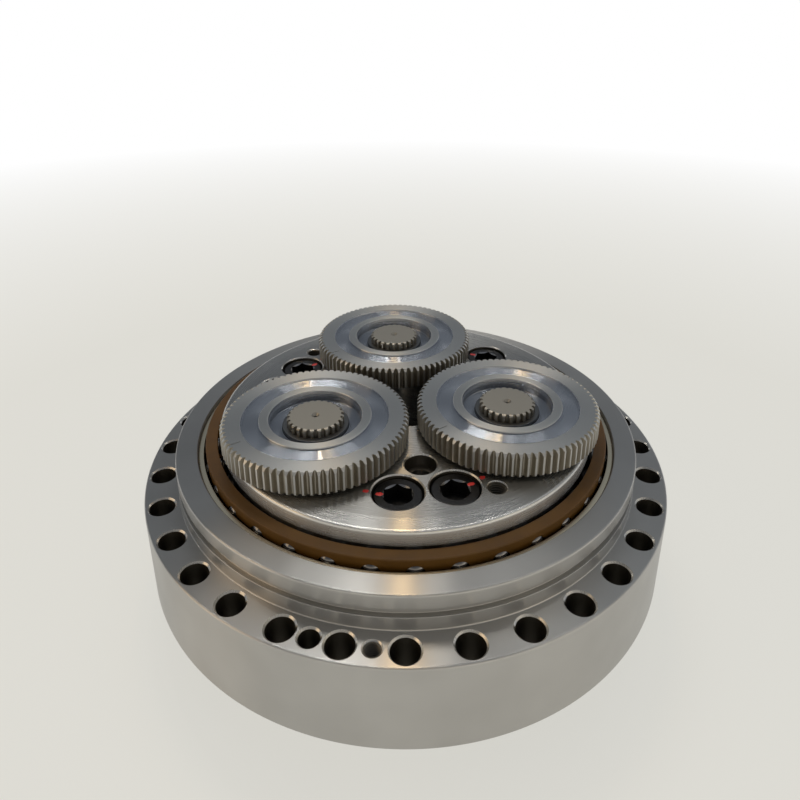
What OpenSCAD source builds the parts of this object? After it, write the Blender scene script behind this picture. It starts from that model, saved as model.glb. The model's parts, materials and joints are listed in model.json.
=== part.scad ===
// Cycloidal reducer for a robot joint: a spur-gear stage turns three crankshafts, and their
// eccentrics drive two cycloid discs against a ring of pins in the case. The case is fixed
// and the carrier (input-side plate, pillars and output flange) is the slow output.
// Origin: centre of the output face. +Z points to the input side. Millimetres.

/* [Case] */
// Thickness of the mounting flange
flange_t = 59; // [40:1:64]
// Height of the spigot that stands above the flange
pilot_h = 24; // [18:1:26]
// Height of the shoulders that hold the main bearings, above the pin circle
shoulder_h = 12; // [11:0.5:16]
// Wall of the case below the flange, outside the bearing bore
body_wall = 7; // [5:0.5:14]
// Wall of the spigot, outside the bearing bore
pilot_wall = 14.5; // [11:0.5:20]
// Distance from the spigot to the bolt circle
bolt_circle_gap = 11.5; // [10:0.5:20]
// Distance from the bolt circle to the rim of the flange
flange_rim = 11; // [10:0.5:20]
// Edge break on the turned outside corners
case_chamfer = 1.5; // [0.5:0.1:2.5]

/* [Case holes] */
// Number of bolt holes in the flange
flange_hole_n = 32; // [16:4:32]
// Diameter of each bolt hole
flange_hole_d = 16.5; // [12:0.5:17]
// Chamfer at both ends of each bolt hole
hole_chamfer = 1; // [0.3:0.1:1.2]
// Diameter of the two dowel holes
case_dowel_d = 12; // [8:0.5:12]
// Core diameter of the two jacking threads
jack_core_d = 8.5; // [6:0.5:10]
// Depth of the jacking threads
jack_depth = 26; // [15:1:35]
// Distance of the sealing groove above the flange face
oring_z = 9; // [6:0.5:10]
// Width of the sealing groove
oring_w = 5.5; // [4:0.5:6]
// Depth of the sealing groove
oring_depth = 3.2; // [2:0.1:4]

/* [Ring pins and discs] */
// Number of ring pins
pin_n = 40; // [40]
// Pitch circle of the ring pins
pin_pcd = 272; // [264:1:290]
// Diameter of a ring pin
pin_d = 10; // [9.4:0.1:10.4]
// Eccentricity of the cranks
ecc = 2.2; // [1.8:0.1:2.4]
// Thickness of a cycloid disc
disc_t = 21.8; // [18:0.2:24]
// Space between the two discs
disc_gap = 1.8; // [1.2:0.1:3]
// Space between a disc and the carrier beside it
disc_side = 0.8; // [0.5:0.1:1.5]
// Running clearance between a disc and a ring pin
disc_clear = 0.25; // [0.2:0.01:0.4]
// Space between the discs' middle bore and the input bore, at the discs' farthest
disc_bore_gap = 0.8; // [0.5:0.1:4]
// Clearance of a ring pin in its seat
pin_seat_clear = 0.03; // [0.02:0.01:0.06]

/* [Main bearings] */
// Number of balls in each main bearing
ball_n = 36; // [28:1:38]
// Direction of the first ball
ball_phase = 2.2; // [0:0.1:9.9]
// Ball diameter
ball_d = 16; // [15:0.1:17]
// Wall of an outer race behind the balls
race_wall = 3.5; // [3:0.1:5]
// Clearance round a ball in its raceway and its cage pocket
ball_clear = 0.2; // [0.18:0.01:0.3]
// Width of an outer race
race_w = 20.5; // [19.5:0.1:22]
// Distance from the case shoulder to the ball centres
ball_z = 17; // [16.5:0.1:17.5]
// How deep the input-side race sits below the spigot
race_recess = 2.5; // [1:0.5:5]
// Height of the cage above the ball centres
cage_top = 10; // [9:0.1:10.5]
// Depth of the cage below the ball centres
cage_foot = 10; // [9.4:0.1:10.5]

/* [Oil seal] */
// Width of the seal
seal_w = 10.5; // [8:0.5:13]
// Clearance of the lip from its journal
seal_clear = 0.2; // [0.18:0.01:0.3]
// Space between the seal and the bearing race
seal_gap = 1; // [0.5:0.1:2]
// Depth of the seal below the end of the case
seal_recess = 2; // [1:0.5:4]

/* [Carrier] */
// How far the output flange stands out of the case
output_proud = 6; // [3:0.5:10]
// Thickness of the input-side plate
plate_t = 39; // [38:0.5:44]
// Bore through the plate for the input pinion
centre_bore_d = 60; // [50:1:62]
// Width of the rim land outside the raised face
rim_land = 9.2; // [6:0.1:12]
// Height of the raised face above the rim
plate_step = 0.4; // [0.2:0.1:1]
// Chamfer on the rim, across
rim_chamfer_r = 1.3; // [0.6:0.1:1.6]
// Chamfer on the rim, down
rim_chamfer_z = 2.5; // [1:0.1:3]
// How far the carrier faces reach past the case shoulders
carrier_overlap = 2; // [1.2:0.1:2.6]
// Thickness of the closed web in the output flange
web_t = 12; // [8:0.5:14]
// Distance from the pin circle in to the pillars' outer corner centres
pillar_inset = 32; // [28:1:34]
// Distance from the axis to the pillars' inner corner centres
pillar_inner_r = 70; // [66:1:74]
// Width of a pillar between its inner corner centres
pillar_inner_w = 22; // [18:1:28]
// Width of a pillar between its outer corner centres
pillar_outer_w = 60; // [54:1:66]
// Radius of the pillars' corners
pillar_corner_r = 9; // [7:0.5:11]
// Direction of the first pair of carrier bolts
group_angle = -82.5; // [-90:0.5:-75]

/* [Carrier fasteners] */
// Thread diameter of the carrier bolts
bolt_d = 20; // [18:1:20]
// Head diameter of the carrier bolts
bolt_head_d = 30; // [28:0.5:30.5]
// Head height of the carrier bolts
bolt_head_h = 20; // [16:0.5:20.5]
// Width across flats of the socket
bolt_socket = 17; // [14:1:18]
// Length of the carrier bolts under the head
bolt_length = 50; // [45:1:55]
// Thickness of the hardened washer
washer_t = 2.5; // [1.5:0.5:3]
// Distance of the carrier bolts inside the pillars' outer corner centres
bolt_inset = 5.2; // [4:0.1:7]
// Angle between the two bolts of a pair
bolt_pair = 20.3; // [19.5:0.1:21]
// Counterbore for a bolt head
bolt_cbore_d = 32; // [31:0.5:32.5]
// How deep the bolt heads lie below the plate face
bolt_sink = 2; // [1:0.5:3]
// Pitch circle of the locating pins
dowel_pcd = 145.8; // [144:0.2:147]
// Diameter of a locating pin
dowel_d = 14; // [12:0.5:14.5]
// Counterbore over a locating pin
dowel_cbore_d = 20.5; // [17:0.5:20.5]
// Depth of that counterbore
dowel_cbore_depth = 9.5; // [6:0.5:12]
// Distance of the tapped lifting holes from the rim
lift_edge = 22; // [19:0.5:24]
// Core diameter of the tapped lifting holes
lift_core_d = 10.2; // [8:0.1:11]

/* [Output face] */
// Number of tapped holes in the output face
output_hole_n = 16; // [8:2:16]
// Distance of these holes from the rim
output_edge = 14.5; // [12:0.5:16]
// Core diameter of their M14 threads
output_core_d = 12; // [10:0.5:12]
// Depth of these holes
output_hole_depth = 24; // [18:1:26]
// Diameter of the locating recess
locating_d = 80; // [60:1:90]
// Depth of the locating recess
locating_depth = 8; // [5:0.5:10]

/* [Spur gears] */
// Number of crankshafts
crank_n = 3; // [3]
// Pitch circle of the crankshafts
crank_pcd = 150; // [149:0.5:152]
// Teeth of a spur gear
gear_z = 80; // [80]
// Teeth of the pinion that drives them
sun_z = 20; // [20]
// Face width of a spur gear
gear_w = 16.5; // [14:0.5:20]
// Gap between the plate face and the gears
gear_gap = 2.5; // [1.5:0.1:4]
// Outer diameter of the turned groove
gear_groove_od = 96.8; // [94:0.2:100]
// Inner diameter of the turned groove
gear_groove_id = 74.2; // [70:0.2:78]
// Depth of the turned groove
gear_groove_depth = 1.5; // [0.8:0.1:3]
// Bore of the hub recess
hub_recess_d = 61.4; // [56:0.2:64]
// Depth of the hub recess
hub_recess_depth = 8; // [4:0.5:9]
// Chamfer on the tooth ends
tooth_chamfer = 1.8; // [1:0.1:2.2]

/* [Crankshafts] */
// Diameter over the splines
spline_d = 37.6; // [36:0.2:38]
// Number of spline teeth
spline_z = 24; // [18:2:30]
// Depth of the spline teeth
spline_depth = 2; // [1.5:0.1:2.5]
// Clearance between spline and hub
spline_clear = 0.05; // [0.03:0.01:0.1]
// Diameter of the bearing journals
journal_d = 40; // [39.6:0.1:41]
// Least wall of an eccentric outside the journals
eccentric_wall = 1.8; // [1.4:0.1:3]
// Thickness of a thrust washer
thrust_t = 1.7; // [1.2:0.1:2]
// Thickness of the gear retaining ring
snap_t = 2.3; // [1.5:0.1:2.5]

/* [Crank bearings] */
// Section of a taper roller bearing, from its bore to its outside
cup_section = 14; // [13.4:0.1:16]
// Width of its inner ring
cone_w = 18; // [18:0.1:19]
// Half angle of its roller axes
taper_angle = 12; // [11:0.5:13]
// Distance from its bore to the middle of its rollers
roller_section = 7.2; // [7:0.1:7.6]
// Mean diameter of its rollers
taper_roller_d = 6.6; // [6.2:0.1:6.8]
// Length of its rollers
taper_roller_l = 12.5; // [11:0.1:12.8]
// Rollers in each row
taper_roller_n = 18; // [14:1:19]
// Clearance of a roller from its raceways and cage
roller_clear = 0.2; // [0.15:0.01:0.25]
// Diameter of a needle roller
needle_d = 6; // [5:0.1:6.2]
// Needle rollers on each eccentric
needle_n = 18; // [14:1:20]

/* [Hidden] */
$fn = 96;
EPS = 0.5;

// Heights, built up from the output face
seal_z0 = output_proud + seal_recess;
low_race_z0 = seal_z0 + seal_w + seal_gap;
low_shoulder = low_race_z0 + race_w;
inner_w = 2 * disc_t + disc_gap + 2 * disc_side;
high_shoulder = low_shoulder + inner_w + 2 * carrier_overlap;
mid_z = (low_shoulder + high_shoulder) / 2;
high_race_z1 = high_shoulder + race_w;
case_top = high_race_z1 + race_recess;
flange_top = case_top - pilot_h;
flange_bottom = flange_top - flange_t;
output_inner = mid_z - inner_w / 2;
plate_z0 = mid_z + inner_w / 2;
plate_top = plate_z0 + plate_t;
gear_z0 = plate_top + gear_gap;
gear_top = gear_z0 + gear_w;

// Case radii, built outwards from the pin circle
pin_r = pin_pcd / 2;
bore_r = pin_r + shoulder_h;
body_r = bore_r + body_wall;
pilot_r = bore_r + pilot_wall;
bolt_circle_r = pilot_r + bolt_circle_gap;
flange_r = bolt_circle_r + flange_rim;
case_inner_r = pin_r + 1.2;

// Main bearing radii, measured from the ball pitch circle
pitch_r = bore_r - race_wall - ball_d / 2;
groove_r = ball_d / 2 + ball_clear;
rim_r = pitch_r - ball_d / 2 + 3;
relief_r = rim_r - 1.3;
low_land_r = pitch_r - ball_d / 2 + 0.5;
race_land_r = pitch_r + 3;
race_open_r = pitch_r + ball_d / 2 - 1.1;
rim_start = ball_z + ball_d / 2 + 1.3;
face_r = rim_r - rim_chamfer_r - rim_land;
race_chamfer = 1.5;
// The cage clears the inner rim, the outer race and its inner shoulder
cage_in_r = rim_r + 2.8;
cage_out_r = race_open_r - 1.1;
cage_foot_in_r = low_land_r + 3;
cage_foot_out_r = race_land_r - 1.1;

// Cycloid discs
disc_bore_r = centre_bore_d / 2 + ecc + disc_bore_gap;
disc_lobes = pin_n - 1;
lobe_steps = 16;
low_disc_z0 = output_inner + disc_side;
high_disc_z0 = low_disc_z0 + disc_t + disc_gap;
low_phase = 0;
high_phase = low_phase + 180;

// Cranks stand midway between the pillars
crank_r = crank_pcd / 2;
crank_angles = [for (i = [0 : crank_n - 1]) group_angle + (i + 1.5) * 360 / crank_n];
group_angles = [for (i = [0 : crank_n - 1]) group_angle + i * 360 / crank_n];
journal_r = journal_d / 2;
cup_r = journal_r + cup_section;
taper_r = journal_r + roller_section;
spline_r = spline_d / 2;
eccentric_r = journal_r + ecc + eccentric_wall;
needle_pitch_r = eccentric_r + needle_d / 2 + roller_clear;
disc_crank_r = needle_pitch_r + needle_d / 2 + roller_clear;
eccentric_over = 0.3;
// The web between the eccentrics stays inside both of them
crank_web_r = eccentric_r - ecc - 1;
low_ecc_z0 = low_disc_z0 - eccentric_over;
high_ecc_z1 = high_disc_z0 + disc_t + eccentric_over;
thrust_z = high_ecc_z1 + thrust_t;
thrust_r = eccentric_r + 4.5;
cone_z1 = thrust_z + cone_w;
taper_z = thrust_z + cone_w / 2;
apex_z = taper_z + taper_r / tan(taper_angle);
taper_half = asin(taper_roller_d / 2 * sin(taper_angle) / taper_r);
cup_z0 = thrust_z + 2.2;
cup_z1 = cone_z1 + 0.5;
ring_z0 = cup_z1 + 0.1;
cup_ring_t = 2.4;
cup_ring_depth = 2;
crank_foot_gap = 1;
crank_foot = 2 * mid_z - cone_z1;
hub_seat_z = ring_z0 + cup_ring_t + 2.3;
hub_r = journal_r + 5;
snap_z = gear_top - hub_recess_depth;
snap_groove_r = spline_r - 1.2;

// First stage
gear_m = crank_pcd / (gear_z + sun_z);
gear_pitch_r = gear_m * gear_z / 2;
gear_tip_r = gear_pitch_r + gear_m;
gear_root_r = gear_pitch_r - 1.25 * gear_m;
pressure_angle = 20;
gear_backlash = 0.08;

// Carrier pillars: rounded wedges, given by the centres of their four corners
pillar_outer_r = pin_r - pillar_inset;
pillar_corners = [[pillar_inner_r, -pillar_inner_w / 2], [pillar_outer_r, -pillar_outer_w / 2],
    [pillar_outer_r, pillar_outer_w / 2], [pillar_inner_r, pillar_inner_w / 2]];
window_clear = ecc + 1.1;
washer_z = plate_top - bolt_sink - bolt_head_h - washer_t;
bolt_hole_r = bolt_d / 2 + 0.75;
bolt_r = pillar_outer_r - bolt_inset;
bolt_end = plate_top - bolt_sink - bolt_head_h - bolt_length;
dowel_length = 44;
dowel_z1 = plate_top - dowel_cbore_depth - 4;

// Holes that sit between bolt holes of the flange
half_step = 180 / flange_hole_n;
first_hole = -90;

steel = [0.60, 0.59, 0.56];
ground_steel = [0.70, 0.70, 0.68];
dark_steel = [0.38, 0.37, 0.36];
bearing_steel = [0.80, 0.80, 0.80];
race_steel = [0.78, 0.75, 0.66];
cage_brown = [0.28, 0.17, 0.08];
black_oxide = [0.09, 0.09, 0.09];
seal_rubber = [0.06, 0.06, 0.07];
spring_steel = [0.25, 0.26, 0.28];

// ---- Shared shapes ----

// A hole down from z, with a chamfered mouth
module drilled(d, z, depth, chamfer) {
    translate([0, 0, z - depth]) cylinder(d = d, h = depth + EPS);
    translate([0, 0, z - chamfer])
        cylinder(d1 = d, d2 = d + 2 * chamfer + 2 * EPS, h = chamfer + EPS);
}

// The same parts on both sides of the middle plane
module mirrored_z() {
    translate([0, 0, mid_z]) mirror([0, 0, 1]) translate([0, 0, -mid_z]) children();
}

module at_crank(i) {
    a = crank_angles[i];
    translate([crank_r * cos(a), crank_r * sin(a), 0]) children();
}

module at_cranks() {
    for (i = [0 : crank_n - 1]) at_crank(i) children();
}

module at_bolts() {
    for (a = group_angles, side = [-1, 1])
        rotate(a + side * bolt_pair / 2) translate([bolt_r, 0, 0]) children();
}

// Raceway torus round the balls, at the height of the ball centres
module ball_groove(z) {
    translate([0, 0, z]) rotate_extrude() translate([pitch_r, 0]) circle(groove_r);
}

// ---- Case ----

module case_profile() {
    polygon([
        [bore_r + 1, output_proud],
        [body_r - case_chamfer, output_proud],
        [body_r, output_proud + case_chamfer],
        [body_r, flange_bottom],
        [flange_r - case_chamfer, flange_bottom],
        [flange_r, flange_bottom + case_chamfer],
        [flange_r, flange_top - case_chamfer],
        [flange_r - case_chamfer, flange_top],
        [pilot_r, flange_top],
        [pilot_r, flange_top + oring_z],
        [pilot_r - oring_depth, flange_top + oring_z],
        [pilot_r - oring_depth, flange_top + oring_z + oring_w],
        [pilot_r, flange_top + oring_z + oring_w],
        [pilot_r, case_top - case_chamfer],
        [pilot_r - case_chamfer, case_top],
        [bore_r + 0.6, case_top],
        [bore_r, case_top - 0.6],
        [bore_r, high_shoulder],
        [case_inner_r, high_shoulder],
        [case_inner_r, low_shoulder],
        [bore_r, low_shoulder],
        [bore_r, output_proud + 1]]);
}

module flange_holes() {
    for (i = [0 : flange_hole_n - 1]) rotate(first_hole + i * 2 * half_step)
        translate([bolt_circle_r, 0, 0]) {
            drilled(flange_hole_d, flange_top, flange_t + EPS, hole_chamfer);
            translate([0, 0, flange_bottom - EPS])
                cylinder(d1 = flange_hole_d + 2 * hole_chamfer + 2 * EPS, d2 = flange_hole_d,
                    h = hole_chamfer + EPS);
        }
}

// Two dowel holes and two jacking threads, each pair across the flange
module flange_dowels() {
    for (a = [0, 180]) {
        rotate(first_hole - 3 * half_step + a) translate([bolt_circle_r, 0, 0])
            drilled(case_dowel_d, flange_top, flange_t + EPS, hole_chamfer);
        rotate(first_hole - half_step + a) translate([bolt_circle_r, 0, 0])
            drilled(jack_core_d, flange_top, jack_depth, hole_chamfer);
    }
}

module case() {
    color(steel) difference() {
        rotate_extrude() case_profile();
        flange_holes();
        flange_dowels();
        for (i = [0 : pin_n - 1]) rotate(i * 360 / pin_n)
            translate([pin_r, 0, low_shoulder - EPS / 2])
                cylinder(r = pin_d / 2 + pin_seat_clear, h = high_shoulder - low_shoulder + EPS);
    }
}

module ring_pins() {
    color(bearing_steel) for (i = [0 : pin_n - 1]) rotate(i * 360 / pin_n)
        translate([pin_r, 0, low_shoulder + 0.2])
            cylinder(d = pin_d, h = high_shoulder - low_shoulder - 0.4);
}

// ---- Main bearings: outer races and ball sets, drawn for the input side ----

module outer_race() {
    difference() {
        rotate_extrude() polygon([
            [race_land_r, high_shoulder],
            [bore_r, high_shoulder],
            [bore_r, high_race_z1 - race_chamfer],
            [bore_r - race_chamfer, high_race_z1],
            [race_open_r, high_race_z1],
            [race_open_r, high_shoulder + ball_z],
            [race_land_r, high_shoulder + ball_z]]);
        ball_groove(high_shoulder + ball_z);
    }
}

module bearing_balls() {
    for (i = [0 : ball_n - 1]) rotate(ball_phase + i * 360 / ball_n)
        translate([pitch_r, 0, high_shoulder + ball_z]) sphere(d = ball_d, $fn = 32);
}

module bearing_cage() {
    z = high_shoulder + ball_z;
    difference() {
        rotate_extrude() polygon([
            [cage_in_r, z + cage_top],
            [cage_in_r, z + 2],
            [cage_foot_in_r, z - 2],
            [cage_foot_in_r, z - cage_foot],
            [cage_foot_out_r, z - cage_foot],
            [cage_foot_out_r, z - 5],
            [cage_out_r, z + 2],
            [cage_out_r, z + cage_top]]);
        for (i = [0 : ball_n - 1]) rotate(ball_phase + i * 360 / ball_n)
            translate([pitch_r, 0, z]) rotate([0, 90, 0])
                cylinder(r = groove_r, h = 30, center = true, $fn = 32);
    }
}

module input_bearing_outer_race() { color(race_steel) outer_race(); }
module output_bearing_outer_race() { color(race_steel) mirrored_z() outer_race(); }
module input_bearing_balls() { color(bearing_steel) bearing_balls(); }
module output_bearing_balls() { color(bearing_steel) mirrored_z() bearing_balls(); }
module input_bearing_cage() { color(cage_brown) bearing_cage(); }
module output_bearing_cage() { color(cage_brown) mirrored_z() bearing_cage(); }

// Radial lip seal between the case and the rim of the output flange
module oil_seal() {
    lip_r = rim_r + seal_clear;
    shell = 2;
    color(seal_rubber) rotate_extrude() polygon([
        [bore_r, seal_z0],
        [bore_r, seal_z0 + seal_w],
        [bore_r - shell, seal_z0 + seal_w],
        [bore_r - shell, seal_z0 + shell],
        [lip_r + 3, seal_z0 + shell],
        [lip_r + 1.5, seal_z0 + 4],
        [lip_r, seal_z0 + 2.5],
        [lip_r + 1, seal_z0]]);
}

// ---- Carrier ----

// Outline of a pillar, grown by g, as four arcs joined by straight sides
function pillar_arc(c, from, to, g) = [for (k = [0 : 5])
    let (a = from + (to - from) * k / 5) c + (pillar_corner_r + g) * [cos(a), sin(a)]];
function pillar_outline(g) =
    let (side = pillar_corners[2] - pillar_corners[3], n = atan2(side[1], side[0]) + 90)
    concat(
        pillar_arc(pillar_corners[0], -180, -n, g),
        pillar_arc(pillar_corners[1], -n, 0, g),
        pillar_arc(pillar_corners[2], 0, n, g),
        pillar_arc(pillar_corners[3], n, 180, g));

// Rim with the inner raceway, for the input side; the far face lies at z1
module rim_profile(z1, land_r, step, hole_r) {
    z = high_shoulder;
    polygon([
        [hole_r, plate_z0 + 1],
        [hole_r + 1, plate_z0],
        [low_land_r - 1, plate_z0],
        [low_land_r, plate_z0 + 1],
        [low_land_r, z + ball_z],
        [relief_r, z + ball_z],
        [relief_r, z + rim_start - (rim_r - relief_r)],
        [rim_r, z + rim_start],
        [rim_r, z1 - rim_chamfer_z],
        [rim_r - rim_chamfer_r, z1 - step],
        [land_r, z1 - step],
        [land_r, z1],
        [hole_r + 1, z1],
        [hole_r, z1 - 1]]);
}

module crank_cup_bore() {
    at_cranks() {
        translate([0, 0, plate_z0 - EPS]) cylinder(r = cup_r, h = plate_t + 2 * EPS);
        translate([0, 0, ring_z0]) cylinder(r = cup_r + cup_ring_depth, h = cup_ring_t);
    }
}

module carrier_plate() {
    color(ground_steel) difference() {
        rotate_extrude() rim_profile(plate_top, face_r, plate_step, centre_bore_d / 2);
        ball_groove(high_shoulder + ball_z);
        crank_cup_bore();
        at_bolts() {
            translate([0, 0, plate_z0 - EPS]) cylinder(r = bolt_hole_r, h = plate_t);
            drilled(bolt_cbore_d, plate_top, plate_top - washer_z, 0.8);
        }
        for (a = group_angles) rotate(a) translate([dowel_pcd / 2, 0, 0]) {
            drilled(dowel_cbore_d, plate_top, dowel_cbore_depth, 0.8);
            translate([0, 0, plate_z0 - EPS]) cylinder(d = dowel_d, h = plate_t);
        }
        for (a = [22.7, 217.1, 97.2]) rotate(group_angle + a) translate([rim_r - lift_edge, 0, 0])
            drilled(lift_core_d, plate_top, 22, 0.8);
    }
}

module output_flange() {
    color(ground_steel) difference() {
        union() {
            mirrored_z() rotate_extrude()
                rim_profile(2 * mid_z, rim_r - rim_chamfer_r - 1, 0, centre_bore_d / 2);
            translate([0, 0, locating_depth])
                cylinder(d = centre_bore_d + 8, h = web_t);
            for (a = group_angles) rotate(a) translate([0, 0, output_inner - EPS])
                linear_extrude(plate_z0 - output_inner + EPS) polygon(pillar_outline(0));
        }
        mirrored_z() ball_groove(high_shoulder + ball_z);
        at_cranks() {
            translate([0, 0, 2 * mid_z - cup_z1]) cylinder(r = cup_r, h = cup_z1 - plate_z0 + EPS);
            translate([0, 0, crank_foot - crank_foot_gap - 1.5]) cylinder(r = journal_r + 3, h = 10);
        }
        at_bolts() translate([0, 0, bolt_end - 3]) cylinder(d = bolt_d, h = plate_z0 - bolt_end + 4);
        for (a = group_angles) rotate(a) translate([dowel_pcd / 2, 0, dowel_z1 - dowel_length])
            cylinder(d = dowel_d, h = dowel_length);
        translate([0, 0, -EPS]) cylinder(d = locating_d, h = locating_depth + EPS);
        mirrored_z() for (i = [0 : output_hole_n - 1])
            rotate(group_angle + (i + 0.5) * 360 / output_hole_n)
                translate([rim_r - output_edge, 0, 0])
                    drilled(output_core_d, 2 * mid_z, output_hole_depth, 1);
    }
}

module carrier_bolts() {
    head_z = plate_top - bolt_sink - bolt_head_h;
    color(black_oxide) at_bolts() difference() {
        union() {
            translate([0, 0, bolt_end]) cylinder(d = bolt_d, h = bolt_length + EPS);
            translate([0, 0, head_z]) cylinder(d = bolt_head_d, h = bolt_head_h - 1);
            translate([0, 0, head_z + bolt_head_h - 1])
                cylinder(d1 = bolt_head_d, d2 = bolt_head_d - 2, h = 1);
        }
        translate([0, 0, head_z + bolt_head_h / 2])
            cylinder(d = bolt_socket / cos(30), h = bolt_head_h, $fn = 6);
    }
}

module bolt_washers() {
    color(dark_steel) at_bolts() translate([0, 0, washer_z]) difference() {
        cylinder(d = bolt_head_d + 0.6, h = washer_t);
        translate([0, 0, -EPS]) cylinder(r = bolt_hole_r, h = washer_t + 2 * EPS);
    }
}

// Straight pins with a pulling thread, through the plate into the pillars
module locating_pins() {
    color(dark_steel) for (a = group_angles) rotate(a) translate([dowel_pcd / 2, 0, 0])
        difference() {
            translate([0, 0, dowel_z1 - dowel_length]) cylinder(d = dowel_d, h = dowel_length);
            drilled(dowel_d / 2, dowel_z1, 14, 1);
        }
}

// ---- Crank bearings, drawn for the input side at the crank axis ----

// Radius of a raceway at height z; side is 1 for the cup and -1 for the cone
function raceway_r(z, side) =
    (apex_z - z) * tan(taper_angle + side * taper_half) + side * roller_clear;

module cup() {
    rotate_extrude() polygon([
        [raceway_r(cup_z0, 1), cup_z0],
        [cup_r, cup_z0],
        [cup_r, cup_z1],
        [raceway_r(cup_z1, 1), cup_z1]]);
}

module cone() {
    rib = 1.8;
    rotate_extrude() polygon([
        [journal_r, thrust_z],
        [raceway_r(thrust_z, -1) + 1.2, thrust_z],
        [raceway_r(thrust_z, -1) + 1.2, thrust_z + rib],
        [raceway_r(thrust_z + rib, -1), thrust_z + rib],
        [raceway_r(cone_z1 - rib, -1), cone_z1 - rib],
        [raceway_r(cone_z1 - rib, -1) + 0.6, cone_z1 - rib],
        [raceway_r(cone_z1 - rib, -1) + 0.6, cone_z1],
        [journal_r, cone_z1]]);
}

module taper_roller(grow) {
    flare = taper_roller_l / 2 * tan(taper_half);
    r = taper_roller_d / 2 + grow;
    translate([taper_r, 0, taper_z]) rotate([0, -taper_angle, 0])
        cylinder(r1 = r + flare, r2 = r - flare, h = taper_roller_l + 2 * grow,
            center = true, $fn = 32);
}

module taper_row() {
    for (k = [0 : taper_roller_n - 1]) rotate(k * 360 / taper_roller_n) taper_roller(0);
}

module taper_cage() {
    half = taper_roller_l / 2 + 1.6;
    across = 1.6;
    difference() {
        rotate_extrude() translate([taper_r + 0.6, taper_z]) rotate(taper_angle)
            translate([0, -half]) square([across, 2 * half]);
        for (k = [0 : taper_roller_n - 1]) rotate(k * 360 / taper_roller_n)
            taper_roller(roller_clear);
    }
}

module upper_bearing_cups() { color(race_steel) at_cranks() cup(); }
module lower_bearing_cups() { color(race_steel) at_cranks() mirrored_z() cup(); }

// Internal retaining rings that hold the upper cups
module cup_retaining_rings() {
    color(spring_steel) at_cranks() translate([0, 0, ring_z0 + 0.1]) difference() {
        cylinder(r = cup_r + cup_ring_depth - 0.3, h = cup_ring_t - 0.3);
        translate([0, 0, -EPS]) cylinder(r = cup_r - 3.5, h = cup_ring_t + 2 * EPS);
        translate([cup_r - 5, -4, -EPS]) cube([10, 8, cup_ring_t + 2 * EPS]);
    }
}

// ---- Cycloid discs ----

// Where a ring pin's centre runs in the disc's own frame, and the disc's edge beside it
function pin_path(t) = [pin_r * cos(t) - ecc * cos(pin_n * t),
    pin_r * sin(t) - ecc * sin(pin_n * t)];
function inward(t) = let (n = [ecc * pin_n * cos(pin_n * t) - pin_r * cos(t),
    ecc * pin_n * sin(pin_n * t) - pin_r * sin(t)]) n / norm(n);
function disc_edge() = let (n = disc_lobes * lobe_steps)
    [for (k = [0 : n - 1]) let (t = 360 * k / n)
        pin_path(t) + (pin_d / 2 + disc_clear) * inward(t)];

module cycloid_disc(phase) {
    translate([ecc * cos(phase), ecc * sin(phase), 0]) difference() {
        rotate(-phase / disc_lobes) linear_extrude(disc_t) polygon(disc_edge());
        translate([0, 0, -EPS]) {
            cylinder(r = disc_bore_r, h = disc_t + 2 * EPS);
            at_cranks() cylinder(r = disc_crank_r, h = disc_t + 2 * EPS);
            for (a = group_angles) rotate(a)
                linear_extrude(disc_t + 2 * EPS) polygon(pillar_outline(window_clear));
        }
    }
}

module cycloid_disc_lower() {
    color(ground_steel) translate([0, 0, low_disc_z0]) cycloid_disc(low_phase);
}
module cycloid_disc_upper() {
    color(ground_steel) translate([0, 0, high_disc_z0]) cycloid_disc(high_phase);
}

// ---- Crankshafts and spur gears ----

// Straight-sided spline, grown by g
function spline_outline(g) = let (w = 180 / spline_z)
    [for (k = [0 : spline_z - 1], p = [[-0.62, 0], [-0.36, 1], [0.36, 1], [0.62, 0]])
        let (r = spline_r - spline_depth * (1 - p[1]) + g, a = 2 * w * k + w * p[0])
            [r * cos(a), r * sin(a)]];

module eccentric(phase, z0, z1) {
    translate([ecc * cos(phase), ecc * sin(phase), z0]) cylinder(r = eccentric_r, h = z1 - z0);
}

module crankshaft(i) {
    tip = 1.2;
    color(dark_steel) at_crank(i) difference() {
        union() {
            translate([0, 0, crank_foot]) cylinder(r = journal_r, h = hub_seat_z - crank_foot);
            translate([0, 0, low_ecc_z0])
                cylinder(r = crank_web_r, h = high_ecc_z1 - low_ecc_z0);
            eccentric(low_phase, low_ecc_z0, low_disc_z0 + disc_t);
            eccentric(high_phase, high_disc_z0, high_ecc_z1);
            intersection() {
                translate([0, 0, hub_seat_z - EPS])
                    linear_extrude(gear_top - hub_seat_z + EPS) polygon(spline_outline(0));
                rotate_extrude() polygon([[0, hub_seat_z - 1], [spline_r + 1, hub_seat_z - 1],
                    [spline_r + 1, gear_top - tip - 1], [spline_r - tip, gear_top],
                    [0, gear_top]]);
            }
        }
        translate([0, 0, snap_z]) difference() {
            cylinder(r = spline_r + 1, h = snap_t + 0.2);
            translate([0, 0, -EPS]) cylinder(r = snap_groove_r, h = snap_t + 1.2);
        }
        translate([0, 0, gear_top - 9]) cylinder(d = 4, h = 10);
        translate([0, 0, gear_top - 3]) cylinder(d1 = 4, d2 = 8, h = 3 + 0.01);
    }
}

// Retaining ring above the gear hub, open at one side
module gear_retaining_ring(i) {
    color(spring_steel) at_crank(i) translate([0, 0, snap_z + 0.1]) difference() {
        cylinder(r = spline_r + 3, h = snap_t);
        translate([0, 0, -EPS]) cylinder(r = snap_groove_r + 0.1, h = snap_t + 2 * EPS);
        rotate(60) translate([0, -4, -EPS]) cube([spline_r + 5, 8, snap_t + 2 * EPS]);
    }
}

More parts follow.
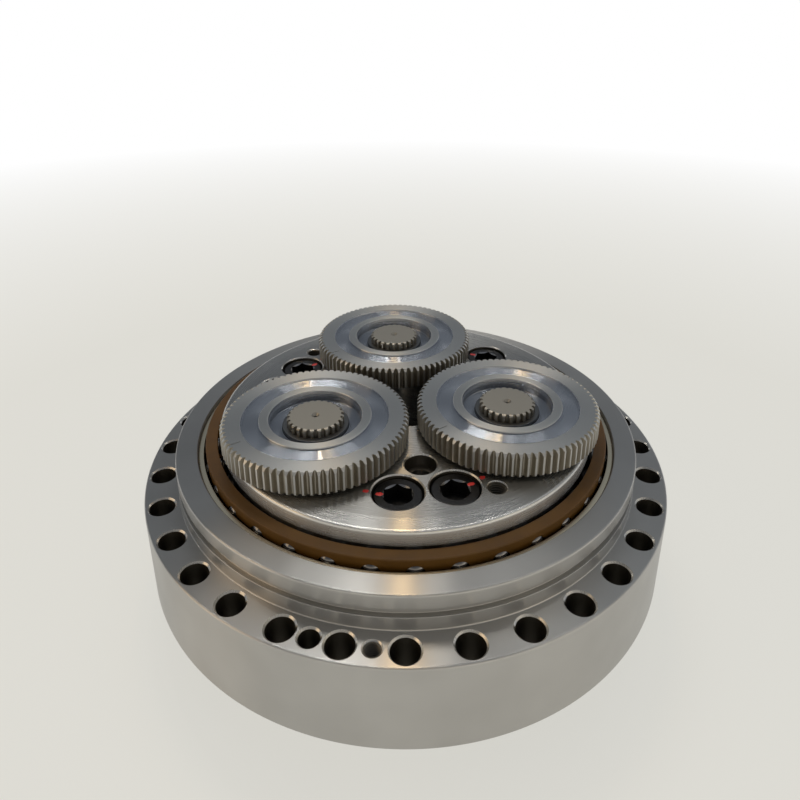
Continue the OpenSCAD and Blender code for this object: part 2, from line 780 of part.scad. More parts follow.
function inv(a) = tan(a) * 180 / PI - a;
function tooth_half(r) = 90 / gear_z + inv(pressure_angle)
    - inv(acos(min(1, gear_pitch_r * cos(pressure_angle) / r)))
    - gear_backlash / gear_pitch_r * 90 / PI;
function gear_outline() = let (n = 3, span = gear_tip_r - gear_root_r)
    [for (k = [0 : gear_z - 1], s = [0 : 2 * n + 1])
        let (up = s <= n ? s : 2 * n + 1 - s, r = gear_root_r + span * up / n,
            a = 360 * k / gear_z + (s <= n ? -1 : 1) * tooth_half(r))
            [r * cos(a), r * sin(a)]];

module spur_gear(i) {
    c = tooth_chamfer;
    color(steel) at_crank(i) difference() {
        union() {
            intersection() {
                translate([0, 0, gear_z0]) linear_extrude(gear_w) polygon(gear_outline());
                rotate_extrude() polygon([[0, gear_z0], [gear_tip_r - c, gear_z0],
                    [gear_tip_r + 1, gear_z0 + c + 1], [gear_tip_r + 1, gear_top - c - 1],
                    [gear_tip_r - c, gear_top], [0, gear_top]]);
            }
            translate([0, 0, hub_seat_z]) cylinder(r = hub_r, h = gear_z0 - hub_seat_z + EPS);
        }
        translate([0, 0, hub_seat_z - EPS]) linear_extrude(gear_top)
            polygon(spline_outline(spline_clear));
        rotate_extrude() polygon([
            [gear_groove_id / 2, gear_top - gear_groove_depth],
            [gear_groove_od / 2, gear_top - gear_groove_depth],
            [gear_groove_od / 2, gear_top - 0.4], [gear_groove_od / 2 + 0.4, gear_top],
            [gear_groove_od / 2 + 0.4, gear_top + 1], [gear_groove_id / 2 - 0.4, gear_top + 1],
            [gear_groove_id / 2 - 0.4, gear_top], [gear_groove_id / 2, gear_top - 0.4]]);
        drilled(hub_recess_d, gear_top, hub_recess_depth, 0.6);
    }
}

module bearing_cones(i) {
    color(race_steel) at_crank(i) { cone(); mirrored_z() cone(); }
}

module thrust_washer() {
    translate([0, 0, high_ecc_z1]) difference() {
        cylinder(r = thrust_r, h = thrust_t);
        translate([0, 0, -EPS]) cylinder(r = journal_r, h = thrust_t + 2 * EPS);
    }
}
module thrust_washers(i) {
    color(bearing_steel) at_crank(i) { thrust_washer(); mirrored_z() thrust_washer(); }
}

module taper_rollers(i) {
    color(bearing_steel) at_crank(i) { taper_row(); mirrored_z() taper_row(); }
}
module taper_cages(i) {
    color(spring_steel) at_crank(i) { taper_cage(); mirrored_z() taper_cage(); }
}

// ---- Needle sets on the eccentrics ----

needle_l = disc_t - 3.8;

module on_eccentric(i, phase, z0) {
    at_crank(i) translate([ecc * cos(phase), ecc * sin(phase), z0 + disc_t / 2]) children();
}

module needle_row(grow) {
    for (k = [0 : needle_n - 1]) rotate(k * 360 / needle_n)
        translate([needle_pitch_r, 0, 0])
            cylinder(r = needle_d / 2 + grow, h = needle_l + 2 * grow, center = true, $fn = 24);
}

module needle_cage() {
    difference() {
        cylinder(r = needle_pitch_r + 1.6, h = disc_t - 0.8, center = true);
        cylinder(r = needle_pitch_r - 1, h = disc_t + 1, center = true);
        needle_row(roller_clear);
    }
}

module needles(i, phase, z0) { color(bearing_steel) on_eccentric(i, phase, z0) needle_row(0); }
module needle_cages(i, phase, z0) { color(spring_steel) on_eccentric(i, phase, z0) needle_cage(); }

case();
ring_pins();
input_bearing_outer_race();
output_bearing_outer_race();
oil_seal();
input_bearing_balls();
input_bearing_cage();
output_bearing_balls();
output_bearing_cage();
carrier_plate();
output_flange();
carrier_bolts();
bolt_washers();
locating_pins();
upper_bearing_cups();
lower_bearing_cups();
cup_retaining_rings();
cycloid_disc_lower();
cycloid_disc_upper();
for (i = [0 : crank_n - 1]) {
    n = str("_", i + 1);
    crankshaft(i);
    spur_gear(i);
    gear_retaining_ring(i);
    bearing_cones(i);
    thrust_washers(i);
    taper_rollers(i);
    taper_cages(i);
    needles(i, low_phase, low_disc_z0);
    needles(i, high_phase, high_disc_z0);
    needle_cages(i, low_phase, low_disc_z0);
    needle_cages(i, high_phase, high_disc_z0);
}
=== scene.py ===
"""Cycloidal reducer for a robot joint, dressed for rendering.

Turned steel parts are lathed meshes with their holes cut out of them. What repeats round the
axis (balls, screws, teeth, holes) is made by one Geometry Nodes tree. Hidden bearings and the
cycloid discs keep their own solids and get a finish. Lengths are in millimetres until a mesh
is made, with the origin at the centre of the output face and +Z towards the input side.
"""

import json
import math

import bmesh
import bpy
from mathutils import Matrix, Vector, noise

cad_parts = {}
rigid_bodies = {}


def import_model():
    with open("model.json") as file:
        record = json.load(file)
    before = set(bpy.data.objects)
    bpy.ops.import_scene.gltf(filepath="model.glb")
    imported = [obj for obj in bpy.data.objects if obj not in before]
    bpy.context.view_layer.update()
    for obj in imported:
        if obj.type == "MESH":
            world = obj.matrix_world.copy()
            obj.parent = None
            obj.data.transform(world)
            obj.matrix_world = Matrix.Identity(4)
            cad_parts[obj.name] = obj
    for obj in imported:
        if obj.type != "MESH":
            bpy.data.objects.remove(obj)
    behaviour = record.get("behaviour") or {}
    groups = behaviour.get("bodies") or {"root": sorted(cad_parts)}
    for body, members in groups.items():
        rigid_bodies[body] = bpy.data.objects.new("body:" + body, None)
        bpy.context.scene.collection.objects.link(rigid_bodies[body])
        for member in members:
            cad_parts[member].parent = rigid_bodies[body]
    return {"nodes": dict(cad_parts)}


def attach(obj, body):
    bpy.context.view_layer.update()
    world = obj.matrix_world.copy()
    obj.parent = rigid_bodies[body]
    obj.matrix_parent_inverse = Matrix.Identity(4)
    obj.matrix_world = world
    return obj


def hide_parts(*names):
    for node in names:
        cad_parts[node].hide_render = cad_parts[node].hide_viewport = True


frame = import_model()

for leftover in [o for o in bpy.data.objects if o.name in ("Cube", "Light", "Camera")]:
    bpy.data.objects.remove(leftover)
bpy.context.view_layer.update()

MM = 0.001
ON_AXIS = 1e-6  # a radius that counts as none
SAME_POINT = 0.001  # corners this close become one
WELD = 0.004  # the same, for repeated slices of a body
RING_STEPS = 288  # faces round a main turned part
SMOOTH_ANGLE = math.radians(38)
FINISH_SOCKETS = ("First Material", "Second Material", "Third Material")

# Case
BODY_R, BORE_R, PILOT_R, FLANGE_R = 155, 148, 162.5, 185
CASE_Z0, FLANGE_Z0, FLANGE_Z1, CASE_Z1 = 6, 31, 90, 114
BOLT_CIRCLE_R, FLANGE_HOLES, FLANGE_HOLE_R, DOWEL_R = 174, 32, 8.25, 6
HALF_STEP = 180 / FLANGE_HOLES
SEAL_GROOVE = (99, 104.5, 3.2)  # foot, top and depth of the sealing groove
LOW_SHOULDER, HIGH_SHOULDER = 40, 91
MID_Z = 65.5
PIN_R, PINS, PIN_SEAT_R = 136, 40, 5.03

# Tapped holes: core radius, crest radius, pitch, depth and chamfer
THREADS = {
    "jack_threads": (4.25, 5, 1.5, 26, 0.8),
    "lift_threads": (5.1, 6, 1.75, 22, 0.6),
    "output_taps": (6, 7, 2, 24, 0.8),
}

# Main bearings; the output side is the input side mirrored in the middle plane
PITCH_R, BALL_R = 136.5, 8
GROOVE_R = BALL_R + 0.2  # raceways, and the pockets of the cages
HIGH_BALL_Z = 108
LOW_BALL_Z = 2 * MID_Z - HIGH_BALL_Z
RACE_Z1 = 111.5
BALL_PLACES = dict(places=36, radius=PITCH_R, first_angle=2.2)

# Carrier
RIM_R, FACE_R, LOW_LAND_R, RELIEF_R = 131.5, 121, 129, 130.2
PLATE_Z0, PLATE_Z1 = 89, 128
OUTPUT_INNER_Z = 42
GROUP_ANGLE = -82.5
BOLT_R = 98.8
BOLT_PLACES = dict(places=3, each=2, radius=BOLT_R, first_angle=GROUP_ANGLE, pair_angle=20.3)
BOLT_END_Z, WASHER_Z, BOLT_SEAT_Z, BOLT_TOP_Z = 56, 103.5, 106, 126
LOCATING_PLACES = dict(places=3, radius=72.9, first_angle=GROUP_ANGLE)
LOCATING_Z1 = 114.5
LIFT_R, LIFT_ANGLES = 109.5, (-59.8, 134.6, 14.7)
BORE = 30

# Gears and cranks
CRANK_ANGLES = (97.5, 217.5, 337.5)
CRANK_R, ECC = 75, 2.2
CRANK_PLACES = dict(places=3, radius=CRANK_R, first_angle=CRANK_ANGLES[0])
CUP_R = 34  # seats of the bearing cups
JOURNAL_R, LOBE_R, LOBE_WIDTH = 20, 24, 22.1
LOW_LOBE_Z, HIGH_LOBE_Z = 42.5, 66.4
GEAR_Z0, GEAR_Z1 = 130.5, 147
TEETH, MODULE = 80, 1.5
GROOVE_R0, GROOVE_R1, RECESS_R = 37.1, 48.4, 30.7  # turned groove and hub recess
TIMING_ANGLE = -145.4
HUB_Z0 = 113.5
SPLINE_TEETH = 24
SNAP_Z0 = 139

# The hall's light by height, from the horizon to straight overhead
HALL_AHEAD = [(0.0, "#b1b3b5"), (0.2, "#878b90"), (0.45, "#666a6f")]
HALL_AHEAD += [(0.75, "#8f9397"), (1.0, "#989b9f")]
HALL_BEHIND = [(0.0, "#fbf0dc"), (0.3, "#e8ddc8"), (0.5, "#8f8c86")]
HALL_BEHIND += [(0.7, "#5c5d5e"), (1.0, "#7b7f86")]


# ---- Colours and nodes ----


def linear(code):
    """Linear colour, with alpha, of an sRGB hex value."""
    parts = [int(code[i : i + 2], 16) / 255 for i in (1, 3, 5)]
    return [p / 12.92 if p <= 0.04045 else ((p + 0.055) / 1.055) ** 2.4 for p in parts] + [1]


def wire(tree, node, wires):
    """Fills a node's inputs with values, links, or the first output of another node."""
    for socket, value in wires.items():
        if isinstance(value, bpy.types.Node):
            value = value.outputs[0]
        if isinstance(value, bpy.types.NodeSocket):
            tree.links.new(value, node.inputs[socket])
        else:
            node.inputs[socket].default_value = value


def add(tree, kind, wires=None, **settings):
    """Adds a node, sets its properties, then fills its inputs."""
    made = tree.nodes.new(kind)
    for key, value in settings.items():
        setattr(made, key, value)
    wire(tree, made, wires or {})
    return made


def calculate(tree, operation, *values):
    """A math node on numbers, sockets or nodes."""
    return add(tree, "ShaderNodeMath", dict(enumerate(values)), operation=operation)


def ranged(tree, value, source=(0, 1), target=(0, 1)):
    """Carries a value from one range to another, and holds it at the ends."""
    labels = ("Value", "From Min", "From Max", "To Min", "To Max")
    return add(tree, "ShaderNodeMapRange", dict(zip(labels, (value, *source, *target))))


def blended(tree, factor, low, high):
    """A colour between two others."""
    shades = {"Factor": factor, 6: low, 7: high}
    return add(tree, "ShaderNodeMix", shades, data_type="RGBA").outputs[2]


def ramp(tree, value, stops):
    """A colour ramp with its stops given as (position, hex value) pairs."""
    made = add(tree, "ShaderNodeValToRGB", {0: value})
    elements = made.color_ramp.elements
    while len(elements) < len(stops):
        elements.new(0.5)
    for element, (place, colour) in zip(elements, stops):
        element.position = place
        element.color = linear(colour)
    return made


def new_material(name, colour, metallic, roughness, sockets=None):
    """Starts a material with its uniform values set on the shader itself."""
    material = bpy.data.materials.new(name)
    material.use_nodes = True
    tree = material.node_tree
    shader = tree.nodes["Principled BSDF"]
    wire(tree, shader, {"Base Color": linear(colour), "Metallic": metallic, "Roughness": roughness})
    wire(tree, shader, sockets or {})
    return material, tree, shader


def turned_coordinates(tree, centre):
    """Position about a turning axis, and how far along the tool's path it lies."""
    place = add(tree, "ShaderNodeTexCoord").outputs["Object"]
    shift = (-centre[0] * MM, -centre[1] * MM, 0)
    about = add(tree, "ShaderNodeMapping", {"Vector": place, "Location": shift})
    flat = add(tree, "ShaderNodeVectorMath", {0: about, 1: (1, 1, 0)}, operation="MULTIPLY")
    radius = add(tree, "ShaderNodeVectorMath", {0: flat}, operation="LENGTH").outputs["Value"]
    height = add(tree, "ShaderNodeSeparateXYZ", {0: about}).outputs["Z"]
    return about, calculate(tree, "ADD", radius, height)


def tool_ridges(tree, path, feed, slope):
    """A bump of ridges one feed apart; slope is how steep their sides are."""
    phase = calculate(tree, "MULTIPLY", path, math.tau / (feed * MM))
    ridges = calculate(tree, "SINE", phase)
    depth = slope * feed * MM / math.tau
    return add(tree, "ShaderNodeBump", {"Strength": 1.0, "Distance": depth, "Height": ridges})


def turned_metal(
    name, colour, roughness, anisotropic=1.0, centre=(0, 0), feed=0.5, smudge=0.0, slope=0.0
):
    """A metal turned or ground round its axis: rings of the tool's feed, satin patches.

    feed is the ring spacing in mm, drawn coarser than the real 0.1 to 0.2 mm so that it shows,
    smudge is how much darker a patch gets, and slope is the steepness of the tool's ridges,
    which spread a lamp into a radial streak.
    """
    sockets = {"Anisotropic": anisotropic, "Anisotropic Rotation": 0.25}
    material, tree, shader = new_material(name, colour, 1.0, roughness, sockets)
    about, path = turned_coordinates(tree, centre)
    feeds = {"W": path, "Scale": 1 / (feed * MM), "Detail": 3.0, "Roughness": 0.7}
    rings = add(tree, "ShaderNodeTexNoise", feeds, noise_dimensions="1D")
    patches = add(tree, "ShaderNodeTexNoise", {"Vector": about, "Scale": 30.0, "Detail": 2.0})
    both = calculate(tree, "ADD", rings, patches)
    rough = ranged(tree, both, (0.5, 1.5), (roughness - 0.03, roughness + 0.03))
    tint = blended(tree, patches, linear(colour), darker(colour, 1 - smudge))
    around = add(tree, "ShaderNodeTangent", direction_type="RADIAL", axis="Z")
    bump = tool_ridges(tree, path, feed, slope)
    wire(tree, shader, {"Roughness": rough, "Base Color": tint, "Normal": bump, "Tangent": around})
    return material


def darker(colour, share):
    """The colour scaled to a share of its light."""
    return [part * share for part in linear(colour)[:3]] + [1]


def clouded(
    name, colour, metallic, roughness, grain, shine=None, tints=None, bump=None, sockets=None
):
    """A material whose changes all follow one fine noise.

    grain is its cells per mm, detail and roughness; shine is the lowest and highest roughness
    of the surface, tints are two colours, and bump is a strength and a depth in mm.
    """
    material, tree, shader = new_material(name, colour, metallic, roughness, sockets)
    place = add(tree, "ShaderNodeTexCoord").outputs["Object"]
    sizes = {"Scale": grain[0] / MM, "Detail": grain[1], "Roughness": grain[2]}
    cloud = add(tree, "ShaderNodeTexNoise", {"Vector": place, **sizes})
    if shine:
        wire(tree, shader, {"Roughness": ranged(tree, cloud, target=shine)})
    if tints:
        wire(tree, shader, {"Base Color": blended(tree, cloud, *map(linear, tints))})
    if bump:
        depth = {"Strength": bump[0], "Distance": bump[1] * MM}
        relief = add(tree, "ShaderNodeBump", {**depth, "Height": cloud})
        wire(tree, shader, {"Normal": relief})
    return material


def plain_metal(name, colour, roughness, grain=1.5, depth=0.01, swing=0.08):
    """A metal without a turning pattern: fine even grain, as after tumbling or grinding."""
    shine = (roughness - swing, roughness + swing)
    return clouded(name, colour, 1.0, roughness, (1 / grain, 5.0, 0.6), shine, bump=(0.2, depth))


def case_finish():
    # Forged steel, turned: satin rings that reflect in radial streaks
    return turned_metal("turned_forged_steel", "#c0beba", 0.3, feed=0.6, smudge=0.15)


def shaded_bore_finish():
    # Drilled and reamed steel, its colour darkened as painted shade inside the holes, with rings
    # down the wall
    return turned_metal("drilled_steel_bore_painted_shade", "#7c776e", 0.42, 0.3, feed=0.5, smudge=0.2)


def carrier_finish():
    # Ground carrier steel with handling marks: cloudy patches over fine rings
    return turned_metal("ground_carrier_steel", "#b4b3b0", 0.28, feed=0.7, smudge=0.3)


def highlight_edge_finish():
    # Polished chamfers and rims, their colour lighter than the faces as a painted highlight, with a
    # crisp line of light
    return turned_metal("polished_edge_steel_painted_highlight", "#d8d6d1", 0.27, feed=0.8)


def race_finish():
    # Hardened and honed bearing steel: pale and smooth
    return turned_metal("honed_bearing_race_steel", "#cfc6b0", 0.25, 0.5, feed=0.8)


def shaded_ball_finish():
    # Lapped chrome steel, its colour darkened as painted shade for the dim pockets it mirrors: a
    # dark mirror with small bright points
    return plain_metal("lapped_chrome_steel_painted_shade", "#77777a", 0.1, 2.0, 0.001, 0.03)


def black_finish():
    # Black oxide on alloy steel: near black, satin, with the steel just showing
    grain, shine, tints = (0.7, 6.0, 0.5), (0.22, 0.42), ("#2c2c2d", "#474748")
    return clouded("black_oxide_alloy_steel", "#39393a", 0.9, 0.4, grain, shine, tints)


def cage_finish():
    # Moulded brown resin: warm, semi-gloss, slightly cloudy
    grain, shine, tints = (0.09, 5.0, 0.5), (0.42, 0.6), ("#4a3008", "#664611")
    sockets = {"Specular IOR Level": 0.35}
    name = "moulded_brown_resin"
    return clouded(name, "#583b0d", 0.0, 0.5, grain, shine, tints, sockets=sockets)


def rubber_finish():
    # Moulded nitrile rubber: black and matt, with a fine grain
    grain = (1.5, 3.0, 0.5)
    return clouded("moulded_nitrile_rubber", "#18181a", 0.0, 0.6, grain, bump=(0.25, 0.03))


def paint_finish():
    # Brushed-on inspection lacquer: thick red with an uneven shine
    grain = (0.9, 3.0, 0.5)
    return clouded("brushed_red_lacquer", "#e0403c", 0.0, 0.35, grain, bump=(0.5, 0.05))


def flank_shade_finish():
    # Hobbed tooth flanks, duller than the faces, with their colour darkened as painted shade in the
    # gaps between teeth
    return plain_metal("hobbed_gear_steel_painted_shade", "#b3aea3", 0.44, 0.7, 0.01)


def gear_finish(n, centre):
    # Case-hardened steel, ground on its faces: satin rings round each gear's own axis
    return turned_metal(f"ground_gear_steel_{n}", "#c2c2bf", 0.38, 0.8, centre, 0.5, 0.12)


def groove_finish(n, centre):
    # Bright turned steel: a near mirror that breaks lamps into thin radial streaks
    return turned_metal(
        f"bright_turned_steel_{n}", "#b0b4bb", 0.11, 1.0, centre, 1.0, 0.05, slope=0.42
    )


# ---- Meshes ----


def new_object(name, data):
    made = bpy.data.objects.new(name, data)
    bpy.context.scene.collection.objects.link(made)
    return made


def polygons(name, faces, materials=()):
    """An object of faces given as lists of (x, y, z) in mm, or (list, material index)."""
    bm = bmesh.new()
    for face in faces:
        points, index = face if isinstance(face[1], int) else (face, 0)
        made = bm.faces.new([bm.verts.new(Vector(p) * MM) for p in points])
        made.material_index = index
    bmesh.ops.remove_doubles(bm, verts=bm.verts, dist=SAME_POINT * MM)
    mesh = bpy.data.meshes.new(name)
    bm.to_mesh(mesh)
    bm.free()
    for material in materials:
        mesh.materials.append(material)
    return new_object(name, mesh)


def eased(profile):
    """Rounds the corners of an outline: a point (r, z, radius) becomes a small arc."""
    out = []
    count = len(profile)
    for i, point in enumerate(profile):
        here = Vector(point[:2])
        if len(point) < 3:
            out.append(tuple(here))
            continue
        radius = point[2]
        before = Vector(profile[i - 1][:2]) - here
        after = Vector(profile[(i + 1) % count][:2]) - here
        half = before.angle(after) / 2
        reach = min(radius / math.tan(half), before.length * 0.49, after.length * 0.49)
        start, end = here + before.normalized() * reach, here + after.normalized() * reach
        for k in range(4):
            t = k / 3
            out.append(tuple(start * (1 - t) ** 2 + here * 2 * t * (1 - t) + end * t**2))
    return out


def arc(centre, radius, start, end, steps):
    """Points on an arc in the (r, z) plane, in degrees."""
    turns = [math.radians(start + (end - start) * k / steps) for k in range(steps + 1)]
    return [polar(radius, a, centre=centre)[:2] for a in turns]


def polar(radius, angle, z=0, centre=(0, 0)):
    """A point at a radius and an angle in radians about a centre."""
    return (centre[0] + radius * math.cos(angle), centre[1] + radius * math.sin(angle), z)


def swept(outline, start, end, finish=0, centre=(0, 0)):
    """Faces that an open outline of (r, z) points sweeps between two angles in radians.

    finish is a material index, or gives one from the middle radius and height of a face.
    """
    faces = []
    for (r0, z0), (r1, z1) in zip(outline, outline[1:]):
        if max(r0, r1) < ON_AXIS:
            continue
        corners = [(r0, start, z0), (r0, end, z0), (r1, end, z1), (r1, start, z1)]
        if r0 < ON_AXIS:
            corners.pop(0)
        if r1 < ON_AXIS:
            corners.pop()
        index = finish((r0 + r1) / 2, (z0 + z1) / 2) if callable(finish) else finish
        faces.append(([polar(*corner, centre) for corner in corners], index))
    return faces


def turned(name, profile, materials=(), steps=RING_STEPS, centre=(0, 0), finish=0):
    """Turns a closed outline of (r, z) points, counter-clockwise, about an axis along Z."""
    outline = eased(profile)
    outline.append(outline[0])
    faces = []
    for i in range(steps):
        start, end = math.tau * i / steps, math.tau * (i + 1) / steps
        faces += swept(outline, start, end, finish, centre)
    return polygons(name, faces, materials)


def prism(name, outline, z0, z1, materials=()):
    """A straight prism on a closed outline of (x, y) points, counter-clockwise."""
    faces = [[(x, y, z1) for x, y in outline], [(x, y, z0) for x, y in reversed(outline)]]
    for i, (x0, y0) in enumerate(outline):
        x1, y1 = outline[(i + 1) % len(outline)]
        faces.append([(x0, y0, z0), (x1, y1, z0), (x1, y1, z1), (x0, y0, z1)])
    return polygons(name, faces, materials)


def carried(obj, centre):
    """Moves a mesh from the main axis to a centre of its own."""
    obj.data.transform(Matrix.Translation((centre[0] * MM, centre[1] * MM, 0)))
    return obj


def spun(obj, angle):
    """Turns a mesh about the main axis, in degrees."""
    obj.data.transform(Matrix.Rotation(math.radians(angle), 4, "Z"))
    return obj


def settle(obj):
    """Turns an object with its modifiers into a plain mesh."""
    graph = bpy.context.evaluated_depsgraph_get()
    mesh = bpy.data.meshes.new_from_object(obj.evaluated_get(graph))
    obj.modifiers.clear()
    old = obj.data
    obj.data = mesh
    mesh.name = obj.name
    bpy.data.meshes.remove(old)
    return obj


def shape_by(obj, operation, *others):
    """Joins or cuts closed meshes, and removes the tools."""
    for other in others:
        step = obj.modifiers.new("shape", "BOOLEAN")
        step.operation = operation
        step.solver = "MANIFOLD"
        step.object = other
    settle(obj)
    for other in others:
        bpy.data.meshes.remove(other.data)
    return obj


def cut(obj, *tools):
    return shape_by(obj, "DIFFERENCE", *tools)


def joined(obj, *others):
    """Puts separate closed shells into one object."""
    bm = bmesh.new()
    for part in (obj, *others):
        bm.from_mesh(part.data)
    bm.to_mesh(obj.data)
    bm.free()
    for other in others:
        bpy.data.meshes.remove(other.data)
    return obj


def smooth(obj, angle=SMOOTH_ANGLE):
    """Smooth shading up to an angle, with the flat faces kept flat."""
    bm = bmesh.new()
    bm.from_mesh(obj.data)
    bmesh.ops.dissolve_degenerate(bm, edges=bm.edges, dist=1e-7)
    bm.to_mesh(obj.data)
    bm.free()
    obj.data.shade_smooth()
    obj.data.set_sharp_from_angle(angle=angle)
    level = obj.modifiers.new("level", "WEIGHTED_NORMAL")
    level.keep_sharp = True
    level.weight = 100
    return settle(obj)


# ---- What repeats round the axis ----


def ring_sockets(tree):
    """The tree's inputs and its output."""
    sizes = (
        ("Places", "NodeSocketInt", 3),
        ("Each", "NodeSocketInt", 1),
        ("Radius", "NodeSocketFloat", 0.1),
        ("First Angle", "NodeSocketFloat", 0.0),
        ("Pair Angle", "NodeSocketFloat", 0.0),
        ("Twist", "NodeSocketFloat", 0.0),
        ("Seed", "NodeSocketInt", 7),
        ("Weld", "NodeSocketFloat", 0.0),
    )
    tree.interface.new_socket("Geometry", in_out="INPUT", socket_type="NodeSocketGeometry")
    for label, kind, value in sizes:
        socket = tree.interface.new_socket(label, in_out="INPUT", socket_type=kind)
        socket.default_value = value
    for label in FINISH_SOCKETS:
        tree.interface.new_socket(label, in_out="INPUT", socket_type="NodeSocketMaterial")
    tree.interface.new_socket("Geometry", in_out="OUTPUT", socket_type="NodeSocketGeometry")


def ring_angle(tree, given, index):
    """The angle of a copy: its place round the axis, and its side where a place has a pair."""
    each = given["Each"]
    place = calculate(tree, "FLOOR", calculate(tree, "DIVIDE", index, each))
    member = calculate(tree, "MODULO", index, each)
    middle = calculate(tree, "DIVIDE", calculate(tree, "SUBTRACT", each, 1), 2)
    side = calculate(tree, "SUBTRACT", member, middle)
    step = calculate(tree, "DIVIDE", math.tau, given["Places"])
    begin = calculate(tree, "MULTIPLY_ADD", place, step, given["First Angle"])
    return calculate(tree, "MULTIPLY_ADD", side, given["Pair Angle"], begin)


def ring_points(tree, given, angle):
    """A point on the circle for every copy."""
    total = calculate(tree, "MULTIPLY", given["Places"], given["Each"])
    across, along = calculate(tree, "COSINE", angle), calculate(tree, "SINE", angle)
    unit = add(tree, "ShaderNodeCombineXYZ", {"X": across, "Y": along})
    reach = {0: unit, "Scale": given["Radius"]}
    position = add(tree, "ShaderNodeVectorMath", reach, operation="SCALE")
    return add(tree, "GeometryNodePoints", {"Count": total, "Position": position})


def ring_rotation(tree, given, index, angle):
    """Each copy faces outwards, give or take a random twist."""
    back = calculate(tree, "MULTIPLY", given["Twist"], -1)
    limits = {2: back, 3: given["Twist"], "ID": index, "Seed": given["Seed"]}
    chance = add(tree, "FunctionNodeRandomValue", limits, data_type="FLOAT").outputs[1]
    euler = add(tree, "ShaderNodeCombineXYZ", {"Z": calculate(tree, "ADD", angle, chance)})
    return add(tree, "FunctionNodeEulerToRotation", {0: euler})


def ring_tree():
    """A tree that repeats its geometry at even places round the axis."""
    tree = bpy.data.node_groups.new("ring_of_parts", "GeometryNodeTree")
    ring_sockets(tree)
    given = add(tree, "NodeGroupInput").outputs
    index = add(tree, "GeometryNodeInputIndex")
    angle = ring_angle(tree, given, index)
    layout = {
        "Points": ring_points(tree, given, angle),
        "Instance": given["Geometry"],
        "Rotation": ring_rotation(tree, given, index, angle),
    }
    copies = add(tree, "GeometryNodeInstanceOnPoints", layout)
    real = add(tree, "GeometryNodeRealizeInstances", {0: copies})
    weld = {"Geometry": real, "Distance": given["Weld"]}
    whole = add(tree, "GeometryNodeMergeByDistance", weld)
    finish = add(tree, "GeometryNodeInputNamedAttribute", {"Name": "finish"}, data_type="INT")
    for number, label in enumerate(FINISH_SOCKETS):
        match = {2: finish, 3: number}
        chosen = add(tree, "FunctionNodeCompare", match, data_type="INT", operation="EQUAL")
        dressed = {"Geometry": whole, "Selection": chosen, "Material": given[label]}
        whole = add(tree, "GeometryNodeSetMaterial", dressed)
    add(tree, "NodeGroupOutput", {"Geometry": whole})
    return tree


def ring_of(obj, tree, materials, **inputs):
    """Repeats an object round the axis; lengths in mm and angles in degrees.

    The faces keep their finish: material_index picks the first, second or third material.
    """
    degree = math.radians(1)
    scale = {"radius": MM, "weld": MM, "first_angle": degree, "pair_angle": degree, "twist": degree}
    numbers = [polygon.material_index for polygon in obj.data.polygons]
    obj.data.attributes.new("finish", "INT", "FACE").data.foreach_set("value", numbers)
    sockets = {i.name: i.identifier for i in tree.interface.items_tree if i.in_out == "INPUT"}
    repeat = obj.modifiers.new("ring", "NODES")
    repeat.node_group = tree
    for key, value in inputs.items():
        repeat[sockets[key.replace("_", " ").title()]] = value * scale.get(key, 1)
    for number, label in enumerate(FINISH_SOCKETS):
        repeat[sockets[label]] = materials[min(number, len(materials) - 1)]
    settle(obj)
    obj.data.attributes.remove(obj.data.attributes["finish"])
    return obj


# ---- Tools that cut holes ----


def hole_tool(name, radius, z0, z1, chamfer, materials):
    """A cutter for a hole with chamfered mouths; finish 1 is its wall, darkened as painted shade,
    and 2 the chamfers, lightened as a painted highlight.
    """
    mouth = radius + chamfer + 1
    outline = [(0, z0 - 1), (mouth, z0 - 1), (radius, z0 + chamfer)]
    outline += [(radius, z1 - chamfer), (mouth, z1 + 1), (0, z1 + 1)]
    return turned(name, outline, materials, 40, finish=lambda r, z: 2 - int(r < radius + 0.01))


def thread_tool(name, z1, materials):
    """A cutter for a tapped blind hole, its thread as ridges in finish 1, darkened as painted
    shade; finish 2 is the chamfer, lightened as a painted highlight.
    """
    core, crest, pitch, depth, chamfer = THREADS[name]
    z0 = z1 - depth
    mouth = crest + chamfer + 1
    outline = [(0, z0 - core * 0.58), (core, z0)]
    turns = int((z1 - chamfer - z0 - 2) / pitch)
    for k in range(turns):
        foot = z1 - chamfer - (turns - k) * pitch
        outline += [(core, foot + pitch * 0.2), (crest, foot + pitch * 0.5)]
        outline += [(crest, foot + pitch * 0.6), (core, foot + pitch * 0.9)]
    outline += [(crest, z1 - chamfer), (mouth, z1 + 1), (0, z1 + 1)]
    return turned(name, outline, materials, 32, finish=lambda r, z: 1 + int(r > crest + 0.1))


def plate_bore_tool(name, wall, step, floor, mouth, over, materials, steps):
    """A cutter for a stepped hole through the input plate.

    wall and step are its two radii, floor is the height of the step, and the chamfer reaches
    the radius mouth at the distance over above the face.
    """
    foot, edge, end = PLATE_Z0 - 1, PLATE_Z1 - 0.8, PLATE_Z1 + over
    outline = [(0, foot), (wall, foot), (wall, floor), (step, floor)]
    outline += [(step, edge), (mouth, end), (0, end)]
    # Finish 1, the wall, is darkened as painted shade; finish 2, the chamfer, is lightened as a
    # painted highlight.
    return turned(name, outline, materials, steps, finish=lambda r, z: 1 + int(z > edge))


# ---- Case and main bearings ----


